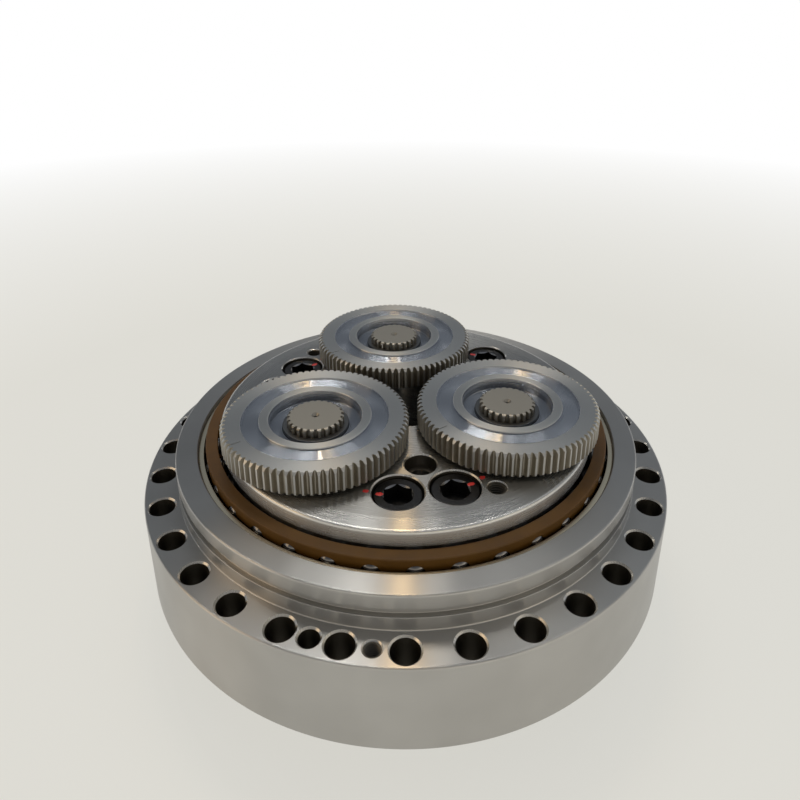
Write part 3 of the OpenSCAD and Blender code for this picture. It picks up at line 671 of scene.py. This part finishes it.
def case_profile():
    foot, top, depth = SEAL_GROOVE
    return [
        (BORE_R, CASE_Z0, 0.6),
        (BODY_R, CASE_Z0, 1.5),
        (BODY_R, FLANGE_Z0, 0.8),
        (FLANGE_R, FLANGE_Z0, 1.5),
        (FLANGE_R, FLANGE_Z1, 1.5),
        (PILOT_R + 0.4, FLANGE_Z1, 0.3),
        (PILOT_R, FLANGE_Z1 + 0.6, 0.3),
        (PILOT_R, foot, 0.35),
        (PILOT_R - depth, foot, 0.5),
        (PILOT_R - depth, top, 0.5),
        (PILOT_R, top, 0.35),
        (PILOT_R, CASE_Z1, 1.4),
        (BORE_R, CASE_Z1, 0.7),
        (BORE_R, HIGH_SHOULDER),
        (PIN_R + 1.2, HIGH_SHOULDER),
        (PIN_R + 1.2, LOW_SHOULDER),
        (BORE_R, LOW_SHOULDER),
    ]


def build_case(tree, materials):
    """The case; its dowel and jacking holes lie between the bolt holes, on the same circle."""
    case = turned("turned_case", case_profile(), materials)
    bolts = hole_tool("bolt_holes", FLANGE_HOLE_R, FLANGE_Z0, FLANGE_Z1, 1, materials)
    dowels = hole_tool("dowel_holes", DOWEL_R, FLANGE_Z0, FLANGE_Z1, 1, materials)
    jacks = thread_tool("jack_threads", FLANGE_Z1, materials)
    for tool, places, half_steps in ((bolts, FLANGE_HOLES, 0), (dowels, 2, 3), (jacks, 2, 1)):
        first = -90 - half_steps * HALF_STEP
        ring_of(tool, tree, materials, places=places, radius=BOLT_CIRCLE_R, first_angle=first)
    low, high = LOW_SHOULDER - 1, HIGH_SHOULDER + 1
    seat = [(0, low), (PIN_SEAT_R, low), (PIN_SEAT_R, high), (0, high)]
    seats = turned("pin_seats", seat, materials, 24, finish=1)
    ring_of(seats, tree, materials, places=PINS, radius=PIN_R)
    return smooth(cut(case, bolts, dowels, jacks, seats))


def mirrored(profile):
    """The same outline on the other side of the middle plane, still counter-clockwise."""
    return [(p[0], 2 * MID_Z - p[1], *p[2:]) for p in reversed(profile)]


def race_profile():
    contact = math.degrees(math.asin((RACE_Z1 - HIGH_BALL_Z) / GROOVE_R))
    start = math.degrees(math.acos(3 / GROOVE_R))
    return [
        (PITCH_R + 3, HIGH_SHOULDER, 0.5),
        (BORE_R, HIGH_SHOULDER, 0.5),
        (BORE_R, RACE_Z1, 1.5),
        (PITCH_R + GROOVE_R * math.cos(math.radians(contact)), RACE_Z1, 0.3),
        *reversed(arc((PITCH_R, HIGH_BALL_Z), GROOVE_R, -start, contact, 12)[:-1]),
    ]


def build_races(materials):
    high = turned("input_outer_race", race_profile(), materials)
    low = turned("output_outer_race", mirrored(race_profile()), materials)
    return smooth(high), smooth(low)


def build_balls(tree, material):
    out = []
    for name, height in (("input_balls", HIGH_BALL_Z), ("output_balls", LOW_BALL_Z)):
        balls = ball_tool(name, BALL_R, height)
        ring_of(balls, tree, [material], **BALL_PLACES)
        balls.data.shade_smooth()
        out.append(balls)
    return out


def cage_profile():
    z = HIGH_BALL_Z
    return [
        (132, z - 10, 0.4),
        (138.4, z - 10, 0.4),
        (138.4, z - 5, 1),
        (142.3, z + 2, 1),
        (142.3, z + 10, 0.9),
        (134.3, z + 10, 0.5),
        (134.3, z + 2, 1),
        (132, z - 2, 1),
    ]


def ball_tool(name, radius, height):
    """A sphere on the pitch circle: a ball, or the cutter of its pocket."""
    bm = bmesh.new()
    place = Matrix.Translation((0, 0, height * MM))
    bmesh.ops.create_icosphere(bm, subdivisions=4, radius=radius * MM, matrix=place)
    mesh = bpy.data.meshes.new(name)
    bm.to_mesh(mesh)
    bm.free()
    return new_object(name, mesh)


def build_cages(tree, materials):
    outline = cage_profile()
    sides = (("input_cage", HIGH_BALL_Z, outline), ("output_cage", LOW_BALL_Z, mirrored(outline)))
    out = []
    for name, height, profile in sides:
        cage = turned(name, profile, materials)
        pockets = ring_of(ball_tool("pockets", GROOVE_R, height), tree, materials, **BALL_PLACES)
        out.append(smooth(cut(cage, pockets)))
    return out


def build_seal(materials):
    """Shaft seal: rubber jacket, sealing lip and dust lip, without its garter spring."""
    z = 8
    lip = RIM_R + 0.2
    profile = [
        (lip, z + 2.4, 0.15),
        (lip + 1.2, z + 0.9, 0.2),
        (lip + 0.9, z, 0.2),
        (lip + 2.2, z, 0.2),
        (lip + 3.4, z + 1.1, 0.4),
        (BORE_R - 4.2, z + 1.1, 0.5),
        (BORE_R - 3.2, z, 0.4),
        (BORE_R, z, 0.5),
        (BORE_R, z + 10.5, 0.5),
        (BORE_R - 2.2, z + 10.5, 0.4),
        (BORE_R - 2.2, z + 3.2, 0.6),
        (lip + 3.6, z + 3.2, 0.5),
        (lip + 3.1, z + 6, 0.4),
        (lip + 1.6, z + 6.2, 0.5),
    ]
    return smooth(turned("shaft_seal", profile, materials))


# ---- Carrier ----


def rim_profile(z1, land_r, slope, edge):
    """The rim with its inner raceway, for the input side; z1 is the outer face.

    Outside land_r the face falls by slope, and the corner is rounded by edge.
    """
    low = math.degrees(math.acos((LOW_LAND_R - PITCH_R) / GROOVE_R))
    high = math.degrees(math.acos((RELIEF_R - PITCH_R) / GROOVE_R))
    start = HIGH_BALL_Z + BALL_R + 1.3
    return [
        (BORE, PLATE_Z0, 0.8),
        (LOW_LAND_R, PLATE_Z0, 0.8),
        *arc((PITCH_R, HIGH_BALL_Z), GROOVE_R, -low, -360 + high, 12),
        (RELIEF_R, start - 1.3, 0.3),
        (RIM_R, start, 0.4),
        (RIM_R, z1 - slope, edge),
        (land_r, z1, 0.5),
        (BORE, z1, 1),
    ]


def highlighted_rim(r, z):
    """Finish 2, lighter polished steel as a painted highlight, on the plate's rim above the
    raceway, and 0 elsewhere.
    """
    return 2 * int(r > RIM_R - 2 and z > HIGH_BALL_Z + BALL_R)


def crank_bore_tool(materials):
    """A cutter for the upper cup seats, each with the groove of its retaining ring."""
    foot, top, groove = PLATE_Z0 - 1, PLATE_Z1 + 1, (108.8, 111.2)
    outline = [
        (0, foot),
        (CUP_R, foot),
        (CUP_R, groove[0]),
        (CUP_R + 2, groove[0]),
        (CUP_R + 2, groove[1]),
        (CUP_R, groove[1]),
        (CUP_R, PLATE_Z1 - 0.6),
        (CUP_R + 1.6, top),
        (0, top),
    ]
    # The seat walls take finish 1, darkened as painted shade.
    return turned("crank_bores", outline, materials, 72, finish=1)


def build_carrier_plate(tree, materials):
    outline = rim_profile(PLATE_Z1, FACE_R, 0.8, 2.2)
    plate = turned("input_plate", outline, materials, finish=highlighted_rim)
    cranks = ring_of(crank_bore_tool(materials), tree, materials, **CRANK_PLACES)
    screws = plate_bore_tool("screw_bores", 10.75, 16, WASHER_Z, 17.1, 0.3, materials, 56)
    ring_of(screws, tree, materials, **BOLT_PLACES)
    pins = plate_bore_tool("pin_bores", 7, 10.25, 118.5, 12, 1, materials, 40)
    ring_of(pins, tree, materials, **LOCATING_PLACES)
    lifts = []
    for angle in LIFT_ANGLES:
        tap = thread_tool("lift_threads", PLATE_Z1, materials)
        lifts.append(ring_of(tap, tree, materials, places=1, radius=LIFT_R, first_angle=angle))
    return smooth(cut(plate, cranks, screws, pins, *lifts))


def pillar_outline():
    """Rounded wedge between two cranks, given by its four corner circles."""
    corners = [(70, -11), (104, -30), (104, 30), (70, 11)]
    lean = math.degrees(math.atan2(30 - 11, 104 - 70)) + 90
    spans = [(-180, -lean), (-lean, 0), (0, lean), (lean, 180)]
    points = []
    for corner, (start, end) in zip(corners, spans):
        points += arc(corner, 9, start, end, 6)
    return points


def flipped(obj):
    """Mirrors a mesh in the middle plane and turns its faces the right way round."""
    obj.data.transform(Matrix.Translation((0, 0, 2 * MID_Z * MM)) @ Matrix.Scale(-1, 4, (0, 0, 1)))
    obj.data.flip_normals()
    return obj


def build_output_flange(tree, materials):
    """The output plate with its pillars: the mirrored rim, a web and the seats and threads."""
    z1 = 2 * MID_Z
    outline = rim_profile(z1, RIM_R - 2.3, 1.6, 0.5)
    flange = turned("output_plate", mirrored(outline), materials)
    web = turned("web", [(0, 8), (34, 8), (34, 20), (0, 20)], materials, 96)
    pillars = prism("pillars", pillar_outline(), OUTPUT_INNER_Z - 0.5, PLATE_Z0, materials)
    ring_of(pillars, tree, materials, places=3, radius=0, first_angle=GROUP_ANGLE)
    shape_by(flange, "UNION", web, pillars)
    recess = turned("recess", [(0, -1), (42, -1), (40, 1), (40, 8), (0, 8)], materials, 96)
    seat = [(0, 20.3), (23, 20.3), (23, 22.3), (CUP_R, 22.3), (CUP_R, 42.5), (0, 42.5)]
    seats = turned("cup_seats", seat, materials, 72, finish=1)
    ring_of(seats, tree, materials, **CRANK_PLACES)
    threads = turned("screw_threads", [(0, 53), (10, 53), (10, 90), (0, 90)], materials, 40)
    ring_of(threads, tree, materials, **BOLT_PLACES)
    pins = turned("pin_holes", [(0, 70.5), (7, 70.5), (7, 90), (0, 90)], materials, 40)
    ring_of(pins, tree, materials, **LOCATING_PLACES)
    taps = flipped(thread_tool("output_taps", z1, materials))
    first = GROUP_ANGLE + 11.25
    ring_of(taps, tree, materials, places=16, radius=RIM_R - 14.5, first_angle=first)
    return smooth(cut(flange, recess, seats, threads, pins, taps))


def build_bolts(tree, materials):
    """Socket-head screws: thread ridges, an eased head, and a hexagon socket with a lead in bright
    steel, a painted glint at the socket's mouth.
    """
    foot, top = BOLT_END_Z, BOLT_TOP_Z
    outline = [(0, foot), (8.6, foot)]
    for k in range(13):
        z = foot + 1.4 + 2.5 * k
        outline += [(8.6, z), (10, z + 1.1), (10, z + 1.4), (8.6, z + 2.4)]
    outline += [(10, 91), (10, BOLT_SEAT_Z), (15, BOLT_SEAT_Z, 0.4), (15, top, 1.3), (0, top)]
    screw = turned("screws", outline, materials, 48)
    corner = 8.5 / math.cos(math.radians(30))
    hexagon = [polar(corner, math.radians(a))[:2] for a in range(0, 360, 60)]
    socket = prism("socket", hexagon, top - 10, top + 1, materials)
    mouth = [(0, top - 0.9), (8.6, top - 0.9), (10.6, top + 1), (0, top + 1)]
    # The lead takes the second, bright steel finish: a painted glint round the socket's mouth.
    lead = turned("lead", mouth, materials, 48, finish=1)
    cut(screw, socket, lead)
    ring_of(screw, tree, materials, twist=25, seed=11, **BOLT_PLACES)
    return smooth(screw)


def build_washers(tree, materials):
    z0, z1 = WASHER_Z, BOLT_SEAT_Z
    outline = [(10.75, z0, 0.3), (15.3, z0, 0.3), (15.3, z1, 0.4), (10.75, z1, 0.3)]
    washer = turned("washers", outline, materials, 48)
    return smooth(ring_of(washer, tree, materials, **BOLT_PLACES))


def build_pins(tree, materials):
    """Locating pins with a tapped hole for pulling them out."""
    foot, top = LOCATING_Z1 - 44, LOCATING_Z1
    outline = [(0, foot), (7, foot, 1.2), (7, top, 0.8), (4.8, top), (4, top - 0.8)]
    for k in range(9):
        z = top - 1.2 - 1.4 * k
        outline += [(4, z), (3.4, z - 0.5), (3.4, z - 0.8), (4, z - 1.3)]
    outline += [(3.4, top - 14), (0, top - 16)]
    pin = turned("pins", outline, materials, 40)
    return smooth(ring_of(pin, tree, materials, **LOCATING_PLACES))


# ---- Spur gears and crankshafts ----


def tooth_slice(name, tooth, pitch, span, chamfer, core, materials, finish=0):
    """One tooth and its slice of the body, to be repeated round the axis and welded.

    tooth lists (radius, half angle) from root to tip, span is the lowest and highest z, and
    core is the outline from the root's top in to the axis and back out to the root's foot.
    """
    z0, z1 = span
    tip_r = tooth[-1][0]

    def at(r, a, z):
        return polar(r, math.radians(a), z)

    def drop(r):
        return max(0, r - tip_r + chamfer)

    faces = []
    for (r0, a0), (r1, a1) in zip(tooth, tooth[1:]):
        top0, top1, low0, low1 = z1 - drop(r0), z1 - drop(r1), z0 + drop(r0), z0 + drop(r1)
        faces.append([at(r0, -a0, top0), at(r1, -a1, top1), at(r1, a1, top1), at(r0, a0, top0)])
        faces.append([at(r0, a0, low0), at(r1, a1, low1), at(r1, -a1, low1), at(r0, -a0, low0)])
        faces.append([at(r0, -a0, low0), at(r1, -a1, low1), at(r1, -a1, top1), at(r0, -a0, top0)])
        faces.append([at(r1, a1, low1), at(r0, a0, low0), at(r0, a0, top0), at(r1, a1, top1)])
    r, a = tooth[-1]
    low, top = z0 + drop(r), z1 - drop(r)
    faces.append([at(r, -a, low), at(r, a, low), at(r, a, top), at(r, -a, top)])
    r, a = tooth[0]
    faces.append([at(r, a, z0), at(r, pitch - a, z0), at(r, pitch - a, z1), at(r, a, z1)])
    outline = [(r, z1), *eased(core), (r, z0)]
    for start, end in ((-a, a), (a, pitch - a)):
        faces += swept(outline, math.radians(start), math.radians(end), finish)
    return polygons(name, faces, materials)


def involute(angle):
    return math.tan(angle) - angle


def gear_tooth():
    """Radii and half angles of an involute tooth, with a little backlash."""
    pitch_r = TEETH * MODULE / 2
    pressure = math.radians(20)
    base = pitch_r * math.cos(pressure)
    flat = math.pi / (2 * TEETH) + involute(pressure) - 0.04 / pitch_r
    radii = (58.1, 58.6, 59.7, 60.6, 61.5)
    angles = [flat - involute(math.acos(min(1, base / r))) for r in radii]
    angles[0] += math.radians(0.22)
    return [(r, math.degrees(a)) for r, a in zip(radii, angles)]


def spline_tooth(grow=0):
    """Radii and half angles of a spline's tooth, made larger by grow for its bore."""
    shape = ((16.8, 5.0), (17.1, 4.5), (17.9, 4.05), (18.45, 3.35), (18.8, 2.5))
    return [(r + grow, a + grow * 3) for r, a in shape]


def bright_part(r, z):
    """Finish 1 in a gear's turned groove and hub recess, and 0 elsewhere."""
    groove = GROOVE_R0 - 0.2 < r < GROOVE_R1 + 0.2 and z < GEAR_Z1 - 0.3
    return int(z > SNAP_Z0 - 0.5 and (groove or r < RECESS_R + 0.2))


def mark_flanks(gear):
    """Gives the tooth flanks and the gaps between them the last material, darkened as painted
    shade.
    """
    gap_r, tip_r = 57.5 * MM, 61.3 * MM
    for face in gear.data.polygons:
        if gap_r < face.center.xy.length < tip_r and abs(face.normal.z) < 0.3:
            face.material_index = 2


def gear_core():
    """The gear from its rim's top in to the axis and out again to the rim's foot."""
    top = GEAR_Z1
    return [
        (GROOVE_R1 + 0.5, top, 0.4),
        (GROOVE_R1, top - 0.5, 0.3),
        (GROOVE_R1, top - 1.5, 0.3),
        (GROOVE_R0, top - 1.5, 0.3),
        (GROOVE_R0, top - 0.5, 0.3),
        (GROOVE_R0 - 0.5, top, 0.4),
        (RECESS_R + 0.6, top, 0.4),
        (RECESS_R, top - 0.6, 0.3),
        (RECESS_R, top - 2.8, 0.1),
        (RECESS_R - 0.5, top - 3.1, 0.1),
        (RECESS_R - 0.5, SNAP_Z0, 0.5),
        (0, SNAP_Z0),
        (0, HUB_Z0),
        (25, HUB_Z0, 0.8),
        (25, GEAR_Z0, 1),
    ]


def build_gear(tree, centre, materials, flank_shade):
    """A spur gear on its splines, with a timing line across its rim."""
    pitch, span = 360 / TEETH, (GEAR_Z0, GEAR_Z1)
    gear = tooth_slice("gear", gear_tooth(), pitch, span, 1.8, gear_core(), materials, bright_part)
    ring_of(gear, tree, materials, places=TEETH, radius=0, weld=WELD)
    gear.data.materials.append(flank_shade)
    mark_flanks(gear)
    bore = spline_body("bore", spline_tooth(0.05), (HUB_Z0 - 1, SNAP_Z0 + 1), tree, materials)
    scribe = [(52, -0.35), (60, -0.35), (60, 0.35), (52, 0.35)]
    line = prism("line", scribe, GEAR_Z1 - 0.5, GEAR_Z1 + 1, materials)
    cut(gear, bore, spun(line, TIMING_ANGLE))
    return smooth(carried(gear, centre), math.radians(28))


def spline_body(name, tooth, span, tree, materials, chamfer=0.0):
    """A solid splined bar on the axis."""
    core = [(0, span[1]), (0, span[0])]
    bar = tooth_slice(name, tooth, 360 / SPLINE_TEETH, span, chamfer, core, materials)
    return ring_of(bar, tree, materials, places=SPLINE_TEETH, radius=0, weld=WELD)


def build_crankshaft(tree, centre, materials):
    """Journals, two eccentrics half a turn apart, and the splined end with its centre hole."""
    foot, top, shoulder = 22.8, GEAR_Z1, HIGH_LOBE_Z + LOBE_WIDTH
    outline = [
        (0, foot),
        (JOURNAL_R, foot, 1),
        (JOURNAL_R, LOW_LOBE_Z),
        (JOURNAL_R + 0.8, LOW_LOBE_Z),
        (JOURNAL_R + 0.8, shoulder),
        (JOURNAL_R, shoulder),
        (JOURNAL_R, HUB_Z0, 0.8),
        (0, HUB_Z0),
    ]
    shaft = turned("crankshaft", outline, materials, 96)
    for z0, side in ((LOW_LOBE_Z, 1), (HIGH_LOBE_Z, -1)):
        z1 = z0 + LOBE_WIDTH
        outline = [(0, z0), (LOBE_R, z0, 0.7), (LOBE_R, z1, 0.7), (0, z1)]
        lobe = turned("lobe", outline, materials, 96, (side * ECC, 0))
        shape_by(shaft, "UNION", lobe)
    end = spline_body("end", spline_tooth(), (HUB_Z0 - 2, top), tree, materials, 1.0)
    shape_by(shaft, "UNION", end)
    z0, z1 = SNAP_Z0, SNAP_Z0 + 2.5
    groove = turned("groove", [(17.6, z0), (20, z0), (20, z1), (17.6, z1)], materials, 96)
    drill = [(0, top - 8), (1.2, top - 7), (1.2, top - 1.6), (3.8, top + 1), (0, top + 1)]
    dimple = turned("dimple", drill, materials, 32)
    return smooth(carried(cut(shaft, groove, dimple), centre))


def build_snap_ring(centre, materials):
    """External retaining ring: a flat spring, open at one side, with two plier holes."""
    z0, z1 = SNAP_Z0 + 0.1, SNAP_Z0 + 2.4
    outline = [(17.7, z0, 0.15), (21.8, z0, 0.3), (21.8, z1, 0.35), (17.7, z1, 0.3)]
    ring = turned("snap_ring", outline, materials, 96)
    gap = prism("gap", [(14, -4), (26, -4), (26, 4), (14, 4)], z0 - 1, z1 + 1, materials)
    column = [(0, z0 - 1), (1.1, z0 - 1), (1.1, z1 + 1), (0, z1 + 1)]
    places = [polar(20.1, math.radians(angle)) for angle in (43, 77)]
    holes = [turned("hole", column, materials, 20, place) for place in places]
    return smooth(carried(cut(ring, spun(gap, 60), *holes), centre))


def build_marks(materials):
    """Strokes of inspection lacquer across four screw heads and the plate beside them."""
    strokes = []
    for bolt_angle, bearing in ((-92.65, 178), (-72.35, 27), (147.35, 40), (47.65, 155)):
        centre = polar(BOLT_R, math.radians(bolt_angle))
        for inner, outer, z in ((8.8, 13.6, BOLT_TOP_Z), (17.2, 21.2, PLATE_Z1)):
            faces = stroke(centre, math.radians(bearing), inner, outer, z, len(strokes))
            strokes.append(polygons("stroke", faces, materials))
    return smooth(joined(*strokes))


def stroke(centre, turn, inner, outer, z, seed):
    """One blob of lacquer from a brush, with an uneven edge: its rim, crown and side faces."""
    steps, thickness, half_width = 28, 0.15, 1.5
    middle, half = (inner + outer) / 2, (outer - inner) / 2
    rim, crown = [], []
    for k in range(steps):
        a = math.tau * k / steps
        wobble = 1 + 0.22 * noise.noise((2 * math.cos(a), 2 * math.sin(a), seed * 3.7))
        x, y = middle + half * math.cos(a) * wobble, half_width * math.sin(a) * wobble
        rim.append((x, y))
        crown.append((middle + (x - middle) * 0.8, y * 0.75))

    def at(point, height):
        x = centre[0] + point[0] * math.cos(turn) - point[1] * math.sin(turn)
        y = centre[1] + point[0] * math.sin(turn) + point[1] * math.cos(turn)
        return (x, y, height)

    top = z + thickness
    faces = [[at(p, top) for p in crown], [at(p, z) for p in reversed(rim)]]
    for k in range(steps):
        n = (k + 1) % steps
        faces.append([at(rim[k], z), at(rim[n], z), at(crown[n], top), at(crown[k], top)])
    return faces


# ---- Stage ----


def camera():
    """A close view from the front and above, with a wide lens."""
    data = bpy.data.cameras.new("camera")
    data.lens = 30.41
    data.sensor_width = 36
    data.shift_x = -0.0084
    data.shift_y = -0.1625
    data.clip_start = 0.01
    data.clip_end = 50
    made = new_object("camera", data)
    made.location = (0.00065, -0.4276, 0.3949)
    made.rotation_euler = (math.radians(90 - 20.89), 0, 0)
    bpy.context.scene.camera = made


def lamp(name, place, size, power, colour):
    """A soft rectangular lamp that looks at the middle of the object."""
    data = bpy.data.lights.new(name, "AREA")
    data.shape = "RECTANGLE"
    data.size, data.size_y = size
    data.energy = power
    data.color = linear(colour)[:3]
    made = new_object(name, data)
    made.location = place
    aim = Vector((0, 0, 0.1)) - made.location
    made.rotation_euler = aim.to_track_quat("-Z", "Y").to_euler()


def lamps():
    """A hall ceiling above and beyond the object: warm lamps among narrow white strips."""
    white, height = "#fffdf8", 2.0
    lamp("warm_key", (-0.02, 0.6, height), (0.07, 0.5), 2.3, "#ffdba6")
    lamp("warm_side", (-1.7, -0.5, 1.1), (1.2, 0.9), 4, "#ffd9a6")
    for k, (x, power) in enumerate(((-0.48, 1.6), (-0.35, 0.6), (-0.22, 1.8), (0.15, 0.9))):
        lamp(f"strip_{k}", (x, 0.62 + 0.08 * (k % 2), height), (0.04, 0.5), power, white)
    for k, x in enumerate((-1.2, -0.8, 0.45, 0.8)):
        lamp(f"far_strip_{k}", (x, 0.6, height), (0.03, 0.4), 0.6, white)


def hall_light(tree, way, parts):
    """The hall's own light, with slow changes round the horizon that give faces soft sectors."""
    ahead, behind = (ramp(tree, parts["Z"], stops) for stops in (HALL_AHEAD, HALL_BEHIND))
    light = blended(tree, ranged(tree, parts["Y"], (-0.5, 0.3)), behind, ahead)
    level_way = {0: way, 1: (1, 1, 0.2)}
    round_way = add(tree, "ShaderNodeVectorMath", level_way, operation="MULTIPLY")
    bays = add(tree, "ShaderNodeTexNoise", {"Vector": round_way, "Scale": 7.0, "Detail": 1.0})
    swing = ranged(tree, bays, (0.3, 0.7), (0.8, 1.2))
    lean = ranged(tree, parts["X"], (-0.7, 0.7), (0.9, 1.5))
    level = calculate(tree, "MULTIPLY", swing, lean)
    return add(tree, "ShaderNodeBackground", {"Color": light, "Strength": level})


def white_share(tree, height):
    """1 for camera rays, and for glossy and transmission rays near the horizon."""
    rays = add(tree, "ShaderNodeLightPath").outputs
    reflected = calculate(tree, "MAXIMUM", rays["Is Glossy Ray"], rays["Is Transmission Ray"])
    both = calculate(tree, "MULTIPLY", reflected, ranged(tree, height, (0.18, 0.04)))
    return calculate(tree, "MAXIMUM", rays["Is Camera Ray"], both)


def sky():
    """Pale near the horizon and dim overhead, so that flat faces read darker than walls."""
    world = bpy.data.worlds.new("hall")
    bpy.context.scene.world = world
    world.use_nodes = True
    tree = world.node_tree
    tree.nodes.clear()
    way = add(tree, "ShaderNodeTexCoord").outputs["Generated"]
    parts = add(tree, "ShaderNodeSeparateXYZ", {0: way}).outputs
    hall = hall_light(tree, way, parts)
    white = add(tree, "ShaderNodeBackground", {"Color": (1, 1, 1, 1)})
    share = white_share(tree, parts["Z"])
    mixed = add(tree, "ShaderNodeMixShader", {0: share, 1: hall, 2: white})
    add(tree, "ShaderNodeOutputWorld", {"Surface": mixed})


def floor():
    """A plain pale table top that fades to white; shadows still fall on it."""
    material, tree, shader = new_material("painted_board", "#dbdbd6", 0.0, 0.7)
    place = add(tree, "ShaderNodeTexCoord").outputs["Object"]
    distance = add(tree, "ShaderNodeVectorMath", {0: place}, operation="LENGTH").outputs["Value"]
    reach = (0.5, 1.8)
    tone = blended(tree, ranged(tree, distance, reach), linear("#f4f3ec"), (1, 1, 1, 1))
    glow = add(tree, "ShaderNodeEmission", {"Color": tone})
    share = ranged(tree, distance, reach, (0.65, 1))
    rays = add(tree, "ShaderNodeLightPath").outputs
    seen = calculate(tree, "MAXIMUM", rays["Is Camera Ray"], rays["Is Glossy Ray"])
    factor = calculate(tree, "MULTIPLY", seen, share)
    mixed = add(tree, "ShaderNodeMixShader", {0: factor, 1: shader, 2: glow})
    wire(tree, tree.nodes["Material Output"], {"Surface": mixed})
    side = 6000
    corners = [(-side, -side, 0), (side, -side, 0), (side, side, 0), (-side, side, 0)]
    table = polygons("table", [corners], [material])


# ---- Assembly ----


def dress(piece, body, slot, *nodes):
    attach(piece, body)
    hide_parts(*nodes)


def finish_nodes(material, *nodes):
    """Gives kept solids a better finish on their own slots."""
    for node in nodes:
        for slot in frame["nodes"][node].material_slots:
            slot.material = material


def build_case_side(tree):
    steel, bore, edge, race = case_finish(), shaded_bore_finish(), highlight_edge_finish(), race_finish()
    ball, brown = shaded_ball_finish(), cage_finish()
    dress(build_case(tree, [steel, bore, edge]), "case", "case_steel", "case")
    high, low = build_races([race])
    dress(high, "case", "race_steel", "input_bearing_outer_race")
    dress(low, "case", "race_steel", "output_bearing_outer_race")
    dress(build_seal([rubber_finish()]), "case", "seal_rubber", "oil_seal")
    sets = zip(build_balls(tree, ball), build_cages(tree, [brown]), ("input", "output"))
    for balls, cage, side in sets:
        dress(balls, f"{side}_ball_set", "bearing_steel", f"{side}_bearing_balls")
        dress(cage, f"{side}_ball_set", "brown_cage", f"{side}_bearing_cage")
    finish_nodes(ball, "ring_pins")


def build_carrier_side(tree):
    steels = [carrier_finish(), shaded_bore_finish(), highlight_edge_finish()]
    black = black_finish()
    dress(build_carrier_plate(tree, steels), "carrier", "carrier_steel", "carrier_plate")
    dress(build_output_flange(tree, steels), "carrier", "carrier_steel", "output_flange")
    # This bright steel also dresses the screws' lead-ins, as a painted glint at each socket's
    # mouth.
    washer = plain_metal("tumbled_spring_steel", "#9a9b9e", 0.25)
    dress(build_bolts(tree, [black, washer]), "carrier", "black_oxide", "carrier_bolts")
    dress(build_washers(tree, [washer]), "carrier", "spring_steel", "bolt_washers")
    dress(build_pins(tree, [washer]), "carrier", "spring_steel", "locating_pins")
    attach(build_marks([paint_finish()]), "carrier")


def build_cranks(tree):
    shaft_steel = plain_metal("milled_shaft_steel", "#aca79c", 0.42, 0.6, 0.03)
    ring_steel = plain_metal("phosphated_spring_steel", "#66686a", 0.35)
    flank_shade = flank_shade_finish()
    for n, angle in enumerate(CRANK_ANGLES, 1):
        centre = polar(CRANK_R, math.radians(angle))
        finishes = [gear_finish(n, centre), groove_finish(n, centre)]
        gear = build_gear(tree, centre, finishes, flank_shade)
        dress(gear, f"crank_{n}", "gear_steel", f"spur_gear_{n}")
        shaft = build_crankshaft(tree, centre, [shaft_steel])
        dress(shaft, f"crank_{n}", "shaft_steel", f"crankshaft_{n}")
        ring = build_snap_ring(centre, [ring_steel])
        dress(ring, f"crank_{n}", "spring_steel", f"gear_retaining_ring_{n}")


def finish_hidden():
    """Bearings and discs inside the case keep their solids."""
    ground = plain_metal("ground_bearing_steel", "#b4b3b0", 0.2, 1.0, 0.003)
    disc = plain_metal("ground_disc_steel", "#9b9a96", 0.28, 0.8, 0.005)
    pressed = plain_metal("pressed_cage_steel", "#77797c", 0.35, 1.2)
    finish_nodes(disc, "cycloid_disc_lower", "cycloid_disc_upper")
    finish_nodes(pressed, "cup_retaining_rings")
    finish_nodes(ground, "upper_bearing_cups", "lower_bearing_cups")
    for n in (1, 2, 3):
        finish_nodes(ground, f"bearing_cones_{n}", f"thrust_washers_{n}", f"taper_rollers_{n}")
        finish_nodes(pressed, f"taper_cages_{n}")
        for level in ("lower", "upper"):
            finish_nodes(ground, f"needles_{n}_{level}")
            finish_nodes(pressed, f"needle_cage_{n}_{level}")


camera()
lamps()
sky()
floor()
ring_parts = ring_tree()
build_case_side(ring_parts)
build_carrier_side(ring_parts)
build_cranks(ring_parts)
finish_hidden()

bpy.context.scene.view_settings.view_transform = "Standard"
